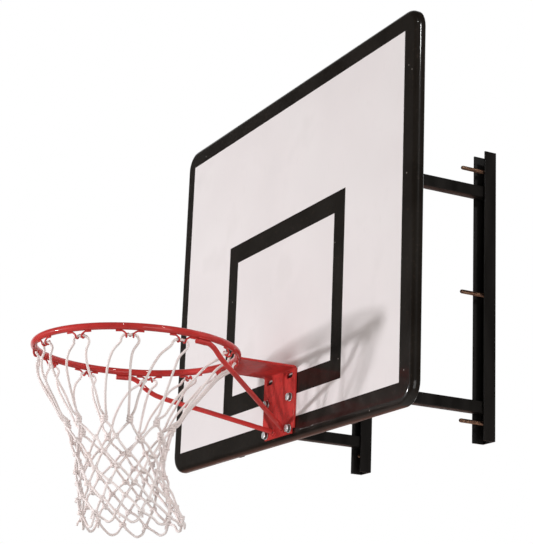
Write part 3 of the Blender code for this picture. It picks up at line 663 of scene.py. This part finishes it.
stay_points = weld_line(3, 0, stay_drop)
stay_points += [round_ring(angle, 0, out, stay_drop + drop) for angle, out, drop in STAY_SWING]
stay_points += [stay_points[-1].lerp(foot, 0.5), foot]
for side, hand in ((1, "right"), (-1, "left")):
    path = mirrored(eased(stay_points, 0.004), side)
    mesh = skinned(carried(path, round_section(STAY_RADIUS, STAY_SIDES)))
    add_piece(f"stay_bar_{hand}", mesh, red_paint, f"ring_stay_{hand}")
print("stays: 2, each", round(path_length(stay_points), 3), "m")

# %% [markdown]
# ## The net clips
#
# Twelve clips of 4 mm wire carry the net: seven on the front of the ring and five, a little closer
# together, at the back. A clip's tails are welded under the bar. Each leg slants in to a hook bent
# towards the net, and the wire between the hooks dips in a V, which keeps the cord in. Half of a
# clip is drawn and mirrored.

# %% Bend the clips
WIRE_RADIUS = 0.002
WIRE_SIDES = 12
HOOK_RADIUS = 0.0059
HOOK_OFFSET = 0.0079
HOOK_DROP = 0.0066
CREST_OFFSET = 0.0054
CREST_DROP = 0.0033
MIDDLE_DROP = 0.0087
BEND_RADIUS = 0.0024
LEG_TOP = 0.0155
TAIL_END = 0.031
CLIPS_TURNED = 5.2
FRONT_STEP = 29.2
BACK_STEP = 26.8

tail_drop = bar_radius + SEAT_GAP + WIRE_RADIUS
hook_drop = tail_drop + HOOK_DROP
clip_angles = [270 + CLIPS_TURNED + FRONT_STEP * (i - 3) for i in range(7)]
clip_angles += [450 + CLIPS_TURNED + BACK_STEP * (i - 2) for i in range(5)]

# From a tail to the middle of the V: place along the bar, distance outwards and drop
half_bend = BEND_RADIUS / 2
tail = (TAIL_END, (TAIL_END + LEG_TOP) / 2, LEG_TOP + half_bend)
half = [(along, 0, tail_drop) for along in tail]
half.append((LEG_TOP - half_bend, 0, tail_drop + half_bend))
for turn in map(math.radians, range(0, 181, 20)):
    outward = HOOK_RADIUS * (math.cos(turn) - 1)
    half.append((HOOK_OFFSET, outward, hook_drop + HOOK_RADIUS * math.sin(turn)))
for turn in map(math.radians, range(45, 136, 15)):
    drop = tail_drop + CREST_DROP + BEND_RADIUS * (1 - math.sin(turn))
    half.append((CREST_OFFSET + BEND_RADIUS * math.cos(turn), outward, drop))
for turn in map(math.radians, (50, 25, 0)):
    drop = tail_drop + MIDDLE_DROP - BEND_RADIUS * (1 - math.cos(turn))
    half.append((BEND_RADIUS * math.sin(turn), outward, drop))
whole = half + [(-along, outward, drop) for along, outward, drop in reversed(half[:-1])]
for number, angle in enumerate(clip_angles, 1):
    path = [round_ring(angle, -along, outward, drop) for along, outward, drop in whole]
    mesh = skinned(carried(eased(path, 0.0014), round_section(WIRE_RADIUS, WIRE_SIDES)))
    add_piece(f"clip_wire_{number:02d}", mesh, red_paint, f"net_clip_{number:02d}")
print("clips:", len(clip_angles))

# %% [markdown]
# ## Weld beads
#
# Each joint on the ring shows a rippled bead of weld under the paint. A bead is a short tube whose
# thickness goes up and down every couple of millimetres and tapers at its ends. Beads run beside
# each stay, round its foot, along the bracket's edge and at every tail of a clip.

# %% Lay the beads on the ring
BEAD_RIPPLE = 0.0022
BEAD_RADIUS = 0.0022
CLIP_BEAD_RADIUS = 0.0021
FOOT_BEAD_RADIUS = 0.0026
BESIDE_STAY = 0.0052


def lay_bead(mould, points, radius):
    path = eased(points, 0.0008)
    length = path_length(path)
    ring = round_section(1.0, 8)(0)

    def section(distance):
        ripple = 0.84 + 0.16 * abs(math.cos(math.pi * distance / BEAD_RIPPLE))
        taper = min(1.0, 0.35 + 0.65 * min(distance, length - distance) / (2 * radius))
        size = radius * ripple * taper
        return [(size * across, size * rise) for across, rise in ring]

    mould.add(carried(path, section))


beads = Mould()
for side in (1, -1):
    for outward in (-BESIDE_STAY, BESIDE_STAY):
        line = weld_line(4, outward, bar_radius - 0.0005)
        lay_bead(beads, mirrored(line, side), BEAD_RADIUS)
for angle in clip_angles:
    for side in (1, -1):
        tail = [side * along for along in (LEG_TOP + 0.003, 0.023, TAIL_END)]
        line = [round_ring(angle, along, 0, bar_radius + 0.0008) for along in tail]
        lay_bead(beads, line, CLIP_BEAD_RADIUS)
half_flange = (bracket_high.x - bracket_low.x - 0.006) / 2
flange_edge = math.degrees(math.asin(half_flange / (ring_radius + bar_radius)))
for drop in (-0.0045, 0.0025):
    reach = bar_radius + 0.0002
    line = [round_ring(90 + flange_edge * i / 4, 0, reach, drop) for i in range(-4, 5)]
    lay_bead(beads, line, BEAD_RADIUS)
for side in (1, -1):
    line = []
    for turn in (math.radians(20 + 320 * i / 12) for i in range(13)):
        line.append(foot + Vector((0.0082 * math.sin(turn), -0.0012, 0.0078 * math.cos(turn))))
    lay_bead(beads, mirrored(line, side), FOOT_BEAD_RADIUS)
add_piece("ring_weld_beads", beads.mesh(), red_paint)
print("faces of the beads:", len(beads.faces))

# %% [markdown]
# ## The net
#
# Each clip holds one loop of cord over both of its hooks. Its ends come down slack and meet the
# neighbours in long knots. From there the net is a lattice: at every knot two cords cross, and cord
# wound round them locks it. The net hangs slack and leans, so its middle wanders with depth. The
# table of depth, radius and lean is the one that the solid net was made from.

# %% Where the knots are
NET_PROFILE = (
    (0.031, 0.216, -0.008), (0.060, 0.204, -0.019), (0.080, 0.192, -0.024), (0.110, 0.171, -0.026),
    (0.133, 0.154, -0.027), (0.160, 0.137, -0.027), (0.190, 0.119, -0.027), (0.210, 0.108, -0.025),
    (0.260, 0.098, -0.022), (0.285, 0.098, -0.019), (0.310, 0.100, -0.014), (0.335, 0.105, -0.007),
    (0.375, 0.114, 0.010), (0.410, 0.114, 0.018),
)
LEAN = polar(1.0, math.radians(63))
KNOT_ROWS = 7
FIRST_ROW_DEPTH = 0.187
LAST_ROW_DEPTH = 0.384
HEM_DEPTH = 0.410
KNOT_SWING = 2.5
KNOT_LIFT = 0.004
COLUMNS = len(clip_angles)

knot_angles = []
row = clip_angles
for _ in range(KNOT_ROWS):
    row = [(first + second) / 2 for first, second in zip(row, row[1:] + [row[0] + 360])]
    knot_angles.append(row)


def net_point(angle, depth):
    """Point of the net's skin by its angle and its depth below the ring."""
    for upper, lower in zip(NET_PROFILE, NET_PROFILE[1:]):
        if depth <= lower[0]:
            break
    share = (depth - upper[0]) / (lower[0] - upper[0])
    reach = upper[1] + share * (lower[1] - upper[1])
    lean = upper[2] + share * (lower[2] - upper[2])
    return ring_centre + LEAN * lean + polar(reach, math.radians(angle), -depth)


def knot_angle(row, index):
    """Angle of a knot. Knots keep their columns, but swing a little from row to row."""
    turn, index = divmod(index, COLUMNS)
    return knot_angles[row][index] + 360 * turn + KNOT_SWING * math.sin(2.3 * row + 1.9 * index)


def knot_place(row, index):
    depth = FIRST_ROW_DEPTH + (LAST_ROW_DEPTH - FIRST_ROW_DEPTH) * row / (KNOT_ROWS - 1)
    if row:
        depth += KNOT_LIFT * math.sin(1.1 * row + 2.7 * (index % COLUMNS))
    return net_point(knot_angle(row, index), depth)


def knot_axes(row, index):
    """Outward and sideways directions at a knot."""
    turn = math.radians(knot_angle(row, index))
    return polar(1.0, turn), Vector((-math.sin(turn), math.cos(turn), 0))


print("knots:", KNOT_ROWS * COLUMNS)

# %% [markdown]
# The cord is 6 mm thick. Its section has three soft lobes, one per strand, and turns once every
# 20 mm, so the lay of the rope is in the shape itself. The points between the lobes are marked as
# grooves.

# %% Lay the cord
CORD_RADIUS = 0.0031
LAY = 0.020
LOBE = ((0, 1.0), (30, 0.97), (60, 0.88), (90, 0.97))
SECTION = [(math.radians(120 * lobe + turn), reach) for lobe in range(3) for turn, reach in LOBE]
GROOVES = [1.0 if reach < 0.9 else 0.0 for _, reach in SECTION]
CORD_STEP = 0.0026

net = Mould()
lengths = []


def lay_cord(points, radius=CORD_RADIUS, phase=0.0):
    """Adds a length of cord through the points to the net."""
    path = eased(points, CORD_STEP)
    lengths.append(path_length(path))

    def section(distance):
        spin = phase + 2 * math.pi * distance / LAY
        turned = [(radius * reach, spin + turn) for turn, reach in SECTION]
        return [(reach * math.cos(turn), reach * math.sin(turn)) for reach, turn in turned]

    net.add(carried(path, section), marks=GROOVES)


print("lay:", LAY * 1000, "mm")

# %% [markdown]
# From the middle of its clip each cord runs through one hook, turns down at a shoulder, hangs in a
# slack curve and lies beside its neighbour for the last two centimetres above the knot.

# %% Hang the loops on the clips
SHOULDER = (0.021, -0.0125, 0.030)
# Shares of the way down and round, from the shoulder to the first knot
TOP_STRAND = ((0.12, 0.10), (0.27, 0.23), (0.45, 0.39), (0.65, 0.58))
SLEEVE = 0.024
RISE = Vector((0, 0, 1))

rest_drop = hook_drop + HOOK_RADIUS - WIRE_RADIUS - CORD_RADIUS
# Along the bar, outwards and drop
through_hook = [
    (0, -HOOK_RADIUS, rest_drop - 0.0006),
    (HOOK_OFFSET, -HOOK_RADIUS, rest_drop),
    (HOOK_OFFSET + 0.0040, -HOOK_RADIUS - 0.0002, rest_drop + 0.0003),
    (SHOULDER[0] - 0.0050, -HOOK_RADIUS - 0.0012, rest_drop + 0.0020),
    (SHOULDER[0] - 0.0015, -HOOK_RADIUS - 0.0035, rest_drop + 0.0062),
    SHOULDER,
]


def top_strand(angle, side, knot):
    """Half of a loop, from the middle of its clip to a knot of the first row."""
    half = [round_ring(angle, side * along, outward, drop) for along, outward, drop in through_hook]
    start_angle = angle + side * math.degrees(SHOULDER[0] / ring_radius)
    for down, across in TOP_STRAND:
        turned_to = start_angle + across * (knot_angle(0, knot) - start_angle)
        half.append(net_point(turned_to, SHOULDER[2] + down * (FIRST_ROW_DEPTH - SHOULDER[2])))
    goal = knot_place(0, knot)
    outward, sideways = knot_axes(0, knot)
    beside = goal - side * sideways * CORD_RADIUS
    half.append(beside + (half[-1] - beside).normalized() * SLEEVE * 1.15)
    half.append(beside + RISE * (SLEEVE * 0.55))
    half.append(goal + side * outward * 0.0024)
    return half


for index, angle in enumerate(clip_angles):
    left = top_strand(angle, -1, index - 1)
    lay_cord(left[::-1] + top_strand(angle, 1, index)[1:], phase=0.7 * index)
print("cord so far:", round(sum(lengths), 2), "m")

# %% [markdown]
# Below the first knots each cord keeps its direction: one family goes down to the right and passes
# outside, the other goes down to the left and passes inside. Stiff cord leaves a knot sideways and
# then turns down, so each length is arched a little. Its middle wanders by a few millimetres.

# %% Tie the lattice
PASS = 0.0027
ARCH = 0.0030
WANDER_ROUGHLY = 0.0040
WANDER_SIDEWAYS = 0.0026


def wander(seed, size):
    """A small number that differs from place to place but never from run to run."""
    return size * math.sin(12.9898 * seed + 4.1) * math.cos(7.233 * seed)


for row in range(KNOT_ROWS - 1):
    for index in range(COLUMNS):
        outward, sideways = knot_axes(row, index)
        for shift, passing in ((0, 1), (-1, -1)):
            lower = row + 1, index + shift
            start = knot_place(row, index) + outward * PASS * passing
            end = knot_place(*lower) + knot_axes(*lower)[0] * PASS * passing
            seed = row * 31 + index * 7 + shift * 3
            middle = start.lerp(end, 0.42) + RISE * (ARCH + wander(seed, WANDER_ROUGHLY))
            middle += outward * wander(seed + 1, WANDER_ROUGHLY)
            middle += sideways * wander(seed + 2, WANDER_SIDEWAYS)
            leaving = start.lerp(middle, 0.45) + RISE * 0.0012
            lay_cord([start, leaving, middle, end], phase=0.5 * seed)
print("cord so far:", round(sum(lengths), 2), "m")

# %% [markdown]
# Cord wound round the crossing locks each knot: a turn and a half on a small one, and two and a
# half on the long ones at the top. Its ends tuck into the middle.

# %% Lock the knots
WOUND_RADIUS = 0.0029
WINDING_REACH = 0.0054
POINTS_PER_TURN = 9


def lock(row, index, turns, height, lift, size=1.0):
    centre = knot_place(row, index) + RISE * lift
    outward, sideways = knot_axes(row, index)
    count = round(turns * POINTS_PER_TURN)
    tilt = wander(row * 13 + index * 5, 0.35)
    reach = WINDING_REACH * size
    points = [centre + RISE * (height / 2)]
    for i in range(count + 1):
        turn = 2 * math.pi * turns * i / count + row + index
        flat = reach * math.cos(turn) * outward + reach * math.sin(turn) * sideways
        climb = height * (0.5 - i / count) + tilt * 0.004 * math.sin(turn)
        points.append(centre + flat + RISE * climb)
    points.append(centre - RISE * (height / 2))
    lay_cord(points, WOUND_RADIUS, phase=index)


for index in range(COLUMNS):
    lock(0, index, 2.5, 0.0135, 0.006)
    for row in range(1, KNOT_ROWS):
        lock(row, index, 1.5, 0.0075, 0.0, 1.0 + wander(row + 3 * index, 0.16))
print("cord so far:", round(sum(lengths), 2), "m")

# %% [markdown]
# Along the hem a loop hangs from each pair of knots, and tails stick out below. Each is shifted a
# little, because in a net tied by hand no two are alike.

# %% Finish the hem
TAIL_RADIUS = 0.0026
HEM_SPREAD = 0.22
HEM_LIFT = 0.006


def leave_tail(row, index, length, swing):
    start = knot_place(row, index)
    outward, sideways = knot_axes(row, index)
    aside = (outward * math.cos(swing) + sideways * math.sin(swing)) * length
    bends = ((0.45, -0.25), (0.7, -0.9))
    points = [start + aside * out + RISE * (down * length) for out, down in bends]
    lay_cord([start, *points], TAIL_RADIUS)


last = KNOT_ROWS - 1
for index in range(COLUMNS):
    first, second = knot_place(last, index), knot_place(last, index + 1)
    lowest = net_point((knot_angle(last, index) + knot_angle(last, index + 1)) / 2, HEM_DEPTH)
    outward, sideways = knot_axes(last, index)
    raised = 0.004 + 0.005 * outward.dot(LEAN) + wander(index + 3, 0.005)
    lowest += RISE * raised + outward * wander(index + 9, 0.008)
    spread = (second - first) * HEM_SPREAD
    lift = RISE * HEM_LIFT
    slip = RISE * wander(index + 5, 0.006)
    low_points = [lowest - spread + lift + slip, lowest, lowest + spread + lift - slip]
    lay_cord([first, *low_points, second], phase=index)
    leave_tail(last, index, 0.012 + abs(wander(index, 0.005)), 1.3 * index)
add_piece("knotted_net", net.mesh("groove"), white_cord, "net", sharp=80)
print("cord in the net:", round(sum(lengths), 2), "m, faces:", len(net.faces))

# %% [markdown]
# ## The bracket
#
# The bracket's solid has knife-sharp edges, and real plate has a small radius where it was sheared
# and painted. A copy of the solid is cleaned of the extra edges inside its flat faces and gets a
# bevel of under a millimetre on every sharp edge. The bevel's shallowest edges turn by 22 degrees.
# Every edge over 20 is kept sharp, so that no flat face is shaded as a curve.

# %% Round the plate's edges
SHARP_OVER = 20
BEVEL_OVER = 28
FLAT_UNDER = 1
BRACKET_BEVEL = 0.0007


def softened(node, width=None):
    """Copy of a solid's mesh with clean flat faces and, with a width, slightly rounded edges."""
    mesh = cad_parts[node].data.copy()
    shape = bmesh.new()
    shape.from_mesh(mesh)
    bmesh.ops.remove_doubles(shape, verts=shape.verts, dist=1e-6)
    flat = math.radians(FLAT_UNDER)
    bmesh.ops.dissolve_limit(shape, angle_limit=flat, verts=shape.verts, edges=shape.edges)
    if width:
        limit = math.radians(BEVEL_OVER)
        sharp = [edge for edge in shape.edges if edge.calc_face_angle(0) > limit]
        bmesh.ops.bevel(
            shape, geom=sharp, offset=width, segments=2, profile=0.5, affect="EDGES",
            clamp_overlap=True,
        )
    shape.to_mesh(mesh)
    shape.free()
    return mesh


bracket = softened("ring_bracket", BRACKET_BEVEL)
look = {"sharp": SHARP_OVER, "slot": "red_paint"}
add_piece("bracket_plate", bracket, rubbed_red, "ring_bracket", **look)
print("bracket faces:", len(bracket.polygons))

# %% [markdown]
# ## The board
#
# The board's front edge is moulded round, and lamps draw short glints on its corners. The solid has
# five flat strips there, which can't mirror a lamp. Its copy is shaded smooth across the strips,
# and normals weighted by the size of each face keep the front flat.

# %% Smooth the board's edge
panel = softened("backboard")
board = add_piece("board_panel", panel, black_moulding, "backboard", sharp=25)
weighted = board.modifiers.new("flat_faces", "WEIGHTED_NORMAL")
weighted.keep_sharp = True
weighted.weight = 80
print("board faces:", len(panel.polygons))

# %% [markdown]
# ## Bolts, washers and nuts
#
# A bolt head is a hexagon whose corners are turned off by a cone, which leaves curved edges that
# catch the light. At each point of a loop, the smaller of the hexagon's and the cone's radius wins.
# Every fastener is made round an upright axis and then turned to the court or the wall.

# %% Turn the hexagons
SIDES = 60
CHAMFER_STEPS = (0.0022, 0.0014, 0.0009, 0.0005, 0.0002, 0.0)
TOWARDS_COURT = Matrix.Rotation(math.pi / 2, 4, "X")
TOWARDS_WALL = Matrix.Rotation(-math.pi / 2, 4, "X")


def circle_loop(radius, height, sides=SIDES):
    return [polar(radius, turn, height) for turn in turns_of(sides)]


def hexagon_loop(flats, height, cone_radius, spin):
    points = []
    for turn in turns_of(SIDES):
        from_flat = (turn + spin + math.pi / 6) % (math.pi / 3) - math.pi / 6
        reach = min(flats / 2 / math.cos(from_flat), cone_radius)
        points.append(polar(reach, turn, height))
    return points


def hexagon_head(flats, thickness, spin, chamfered_below=False):
    """Loops of a hexagon with its corners turned off at 30 degrees."""
    face = flats / 2 * 0.95
    cones = [(step, face + step * math.tan(math.radians(60))) for step in CHAMFER_STEPS]
    top = [hexagon_loop(flats, thickness - step, cone, spin) for step, cone in cones]
    if chamfered_below:
        return [hexagon_loop(flats, step, cone, spin) for step, cone in reversed(cones)] + top
    return [hexagon_loop(flats, 0, flats, spin)] + top


def centre_at(box, y):
    """Middle of a box as seen from the court, at a given y."""
    middle = (box[0] + box[1]) / 2
    return Vector((middle.x, y, middle.z))


def add_fastener(name, node, number, mesh, box, y, facing, finish=bright_zinc, sharp=32):
    """Places a fastener in the middle of a box, with its seat at y, facing court or wall."""
    mesh.transform(Matrix.Translation(centre_at(box, y)) @ facing)
    add_piece(f"{name}_{number}", mesh, finish, f"{node}_{number}", sharp=sharp)


print("hexagon ready")

# %% [markdown]
# A thread is a ridge that climbs with the turn. The flanks of the ring's bolts look dark in the
# photograph, so their points are marked and the zinc paints shade there, almost black. Washers have
# broken edges, and nuts are chamfered on both faces.

# %% Cut the threads, bolts and nuts
THREAD_PITCH = 0.0015
THREAD_DEPTH = 0.0008
THREAD_SIDES = 20
LOOPS_PER_PITCH = 5
BOLT_FLATS = 0.017
NUT_MOUTH = 0.0062
NUT_LIP = 0.0004
WASHER_EDGE = 0.00025


def threaded(radius, start, end):
    """Loops of a screw thread between two heights."""
    count = round(LOOPS_PER_PITCH * (end - start) / THREAD_PITCH)
    loops = []
    for i in range(count + 1):
        height = start + (end - start) * i / count
        points = []
        for side, turn in enumerate(turns_of(THREAD_SIDES)):
            place_in_turn = (height / THREAD_PITCH + side / THREAD_SIDES) % 1.0
            reach = radius - THREAD_DEPTH * abs(2 * place_in_turn - 1) ** 1.2
            points.append(polar(reach, turn, height))
        loops.append(points)
    return loops


def bolt_mesh(flats, head, radius, length, spin):
    """Hexagon bolt: its seat at height 0, its head above and its threaded shank below."""
    mould = Mould()
    dish = [circle_loop(0.365 * flats, head), circle_loop(0.34 * flats, head - 0.0004)]
    mould.add(hexagon_head(flats, head, spin) + dish)
    # The points of the head's flanks are marked for painted shade
    flank = 2 * SIDES
    mould.marks[:flank] = [1.0] * flank
    mould.add(threaded(radius, -length + 0.0008, 0.0))
    return mould.mesh("flank_shade")


def nut_mesh(thick, bolt_radius, spin):
    bore = bolt_radius + SEAT_GAP
    loops = [circle_loop(bore, NUT_LIP), circle_loop(NUT_MOUTH, 0)]
    loops += hexagon_head(BOLT_FLATS, thick, spin, chamfered_below=True)
    loops += [circle_loop(NUT_MOUTH, thick), circle_loop(bore, thick - NUT_LIP)]
    return skinned(loops, joined=True)


def washer_mesh(thick, rim, bore, edge=WASHER_EDGE):
    profile = [(bore, edge), (bore + edge, 0), (rim - edge, 0), (rim, edge)]
    profile += [(radius, thick - height) for radius, height in reversed(profile)]
    return skinned([circle_loop(radius, height) for radius, height in profile], joined=True)


print("threads:", THREAD_PITCH * 1000, "mm apart")

# %% [markdown]
# Lengths, thicknesses and places come from the boxes of the solids, so the finer pieces sit where
# the frame holds them.

# %% Fit the ring's bolts
BOLT_RADIUS = 0.005

for number in range(1, 5):
    bolt, washer, nut = [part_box(f"ring_{kind}_{number}") for kind in ("bolt", "washer", "nut")]
    front, back = washer[0].y, washer[1].y
    head = front - SEAT_GAP - bolt[0].y
    length = bolt[1].y - bolt[0].y - head
    mesh = bolt_mesh(BOLT_FLATS, head, BOLT_RADIUS, length, 0.9 * number)
    add_fastener("hex_bolt", "ring_bolt", number, mesh, bolt, bolt[0].y + head, TOWARDS_COURT)

    rim = (washer[1].x - washer[0].x) / 2
    mesh = washer_mesh(back - front, rim, BOLT_RADIUS + SEAT_GAP)
    add_fastener("flat_washer", "ring_washer", number, mesh, bolt, back, TOWARDS_COURT, sharp=50)

    mesh = nut_mesh(nut[1].y - nut[0].y, BOLT_RADIUS, 0.5 * number)
    add_fastener("hex_nut", "ring_nut", number, mesh, bolt, nut[0].y, TOWARDS_WALL)
print("bolt heads:", round(head * 1000, 1), "mm high")

# %% [markdown]
# ## Bolts behind the board
#
# The black border shows no bolt, so the board hangs on four bolts from behind. Each goes through a
# rail into a blind thread in the moulding, and only its head shows.

# %% Bolt the rails to the board
RAIL_BOLT_FLATS = 0.013
RAIL_BOLT_HEAD = 0.0055
RAIL_BOLT_RADIUS = 0.004

for number in range(1, 5):
    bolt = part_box(f"board_bolt_{number}")
    length = bolt[1].y - bolt[0].y - RAIL_BOLT_HEAD
    mesh = bolt_mesh(RAIL_BOLT_FLATS, RAIL_BOLT_HEAD, RAIL_BOLT_RADIUS, length, 0.8 * number)
    seat = bolt[1].y - RAIL_BOLT_HEAD
    add_fastener("rail_bolt", "board_bolt", number, mesh, bolt, seat, TOWARDS_WALL)
print("bolts behind the board:", number)

# %% [markdown]
# ## Wall studs and their nuts
#
# Six threaded studs stand out of the wall, each with a nut on the web of its upright. On the right
# they reach well past the channel, on the left they end inside it. Their tips are rounded off.

# %% Set the studs in the wall
THREAD_END = 0.0045
# Millimetres from the tip and share of the radius
STUD_TIP = (4.2, 0.86), (3.4, 0.92), (2.4, 0.88), (1.4, 0.76), (0.6, 0.58), (0.0, 0.34)

for number in range(1, 7):
    stud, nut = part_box(f"wall_bolt_{number}"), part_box(f"wall_nut_{number}")
    radius = (stud[1].z - stud[0].z) / 2
    length = stud[1].y - stud[0].y
    loops = threaded(radius, 0.0, length - THREAD_END)
    for short, share in STUD_TIP:
        loops.append(circle_loop(radius * share, length - short / 1000, THREAD_SIDES))
    mesh, wall = skinned(loops), stud[1].y
    add_fastener("wall_stud", "wall_bolt", number, mesh, stud, wall, TOWARDS_COURT, bronze_zinc, 60)

    mesh = nut_mesh(nut[1].y - nut[0].y, radius, 0.7 * number)
    add_fastener("stud_nut", "wall_nut", number, mesh, stud, nut[1].y, TOWARDS_COURT)
print("studs:", number)

# %% [markdown]
# ## The wall frame
#
# Rolled and drawn steel has no knife edges, so uprights, arms and rails are softened copies of
# their solids.

# %% Soften the frame
STEEL_BEVEL = 0.0006
SOLIDS = ("wall_upright", "upper_arm", "lower_arm", "board_rail")
TUBES = ("channel", "upper_arm_tube", "lower_arm_tube", "rail_tube")

pairs = [(a + hand, b + hand) for hand in ("_left", "_right") for a, b in zip(SOLIDS, TUBES)]
pairs.append(("ring_backing_plate", "clamp_plate"))
for node, name in pairs:
    mesh = softened(node, STEEL_BEVEL)
    add_piece(name, mesh, black_steel, node, sharp=SHARP_OVER)
print("pieces of the frame:", len(pairs))

# %% [markdown]
# A bead of weld runs round both ends of every arm on a rounded square, which is a circle with its
# points pushed out by their sixth powers.

# %% Weld the arms
ARM_BEAD_RADIUS = 0.0024
BEAD_INSET = 0.0012
SQUARENESS = 6
STEPS_ROUND = 32

joints = Mould()
for arm in ("upper_arm_left", "lower_arm_left", "upper_arm_right", "lower_arm_right"):
    low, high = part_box(arm)
    half_x, half_z = (high.x - low.x) / 2, (high.z - low.z) / 2
    for y in (high.y - BEAD_INSET, low.y + BEAD_INSET):
        corners = []
        for i in range(STEPS_ROUND + 1):
            turn = 2 * math.pi * i / STEPS_ROUND + 0.4
            across, rise = math.cos(turn), math.sin(turn)
            grow = 1.0 / (abs(across) ** SQUARENESS + abs(rise) ** SQUARENESS) ** (1 / SQUARENESS)
            corner = Vector((half_x * grow * across, 0, half_z * grow * rise))
            corners.append(centre_at((low, high), y) + corner)
        lay_bead(joints, corners, ARM_BEAD_RADIUS)
add_piece("arm_weld_beads", joints.mesh(), black_steel)
print("faces of the beads:", len(joints.faces))

# %% [markdown]
# ## Finishes for the solids that stay
#
# The white fields keep their solids, so only their material slots change.

# %% Paint what stays
KEPT = ("white_field", "target_field")
for node in KEPT:
    for material_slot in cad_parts[node].material_slots:
        material_slot.material = white_paint
print("painted:", len(KEPT))
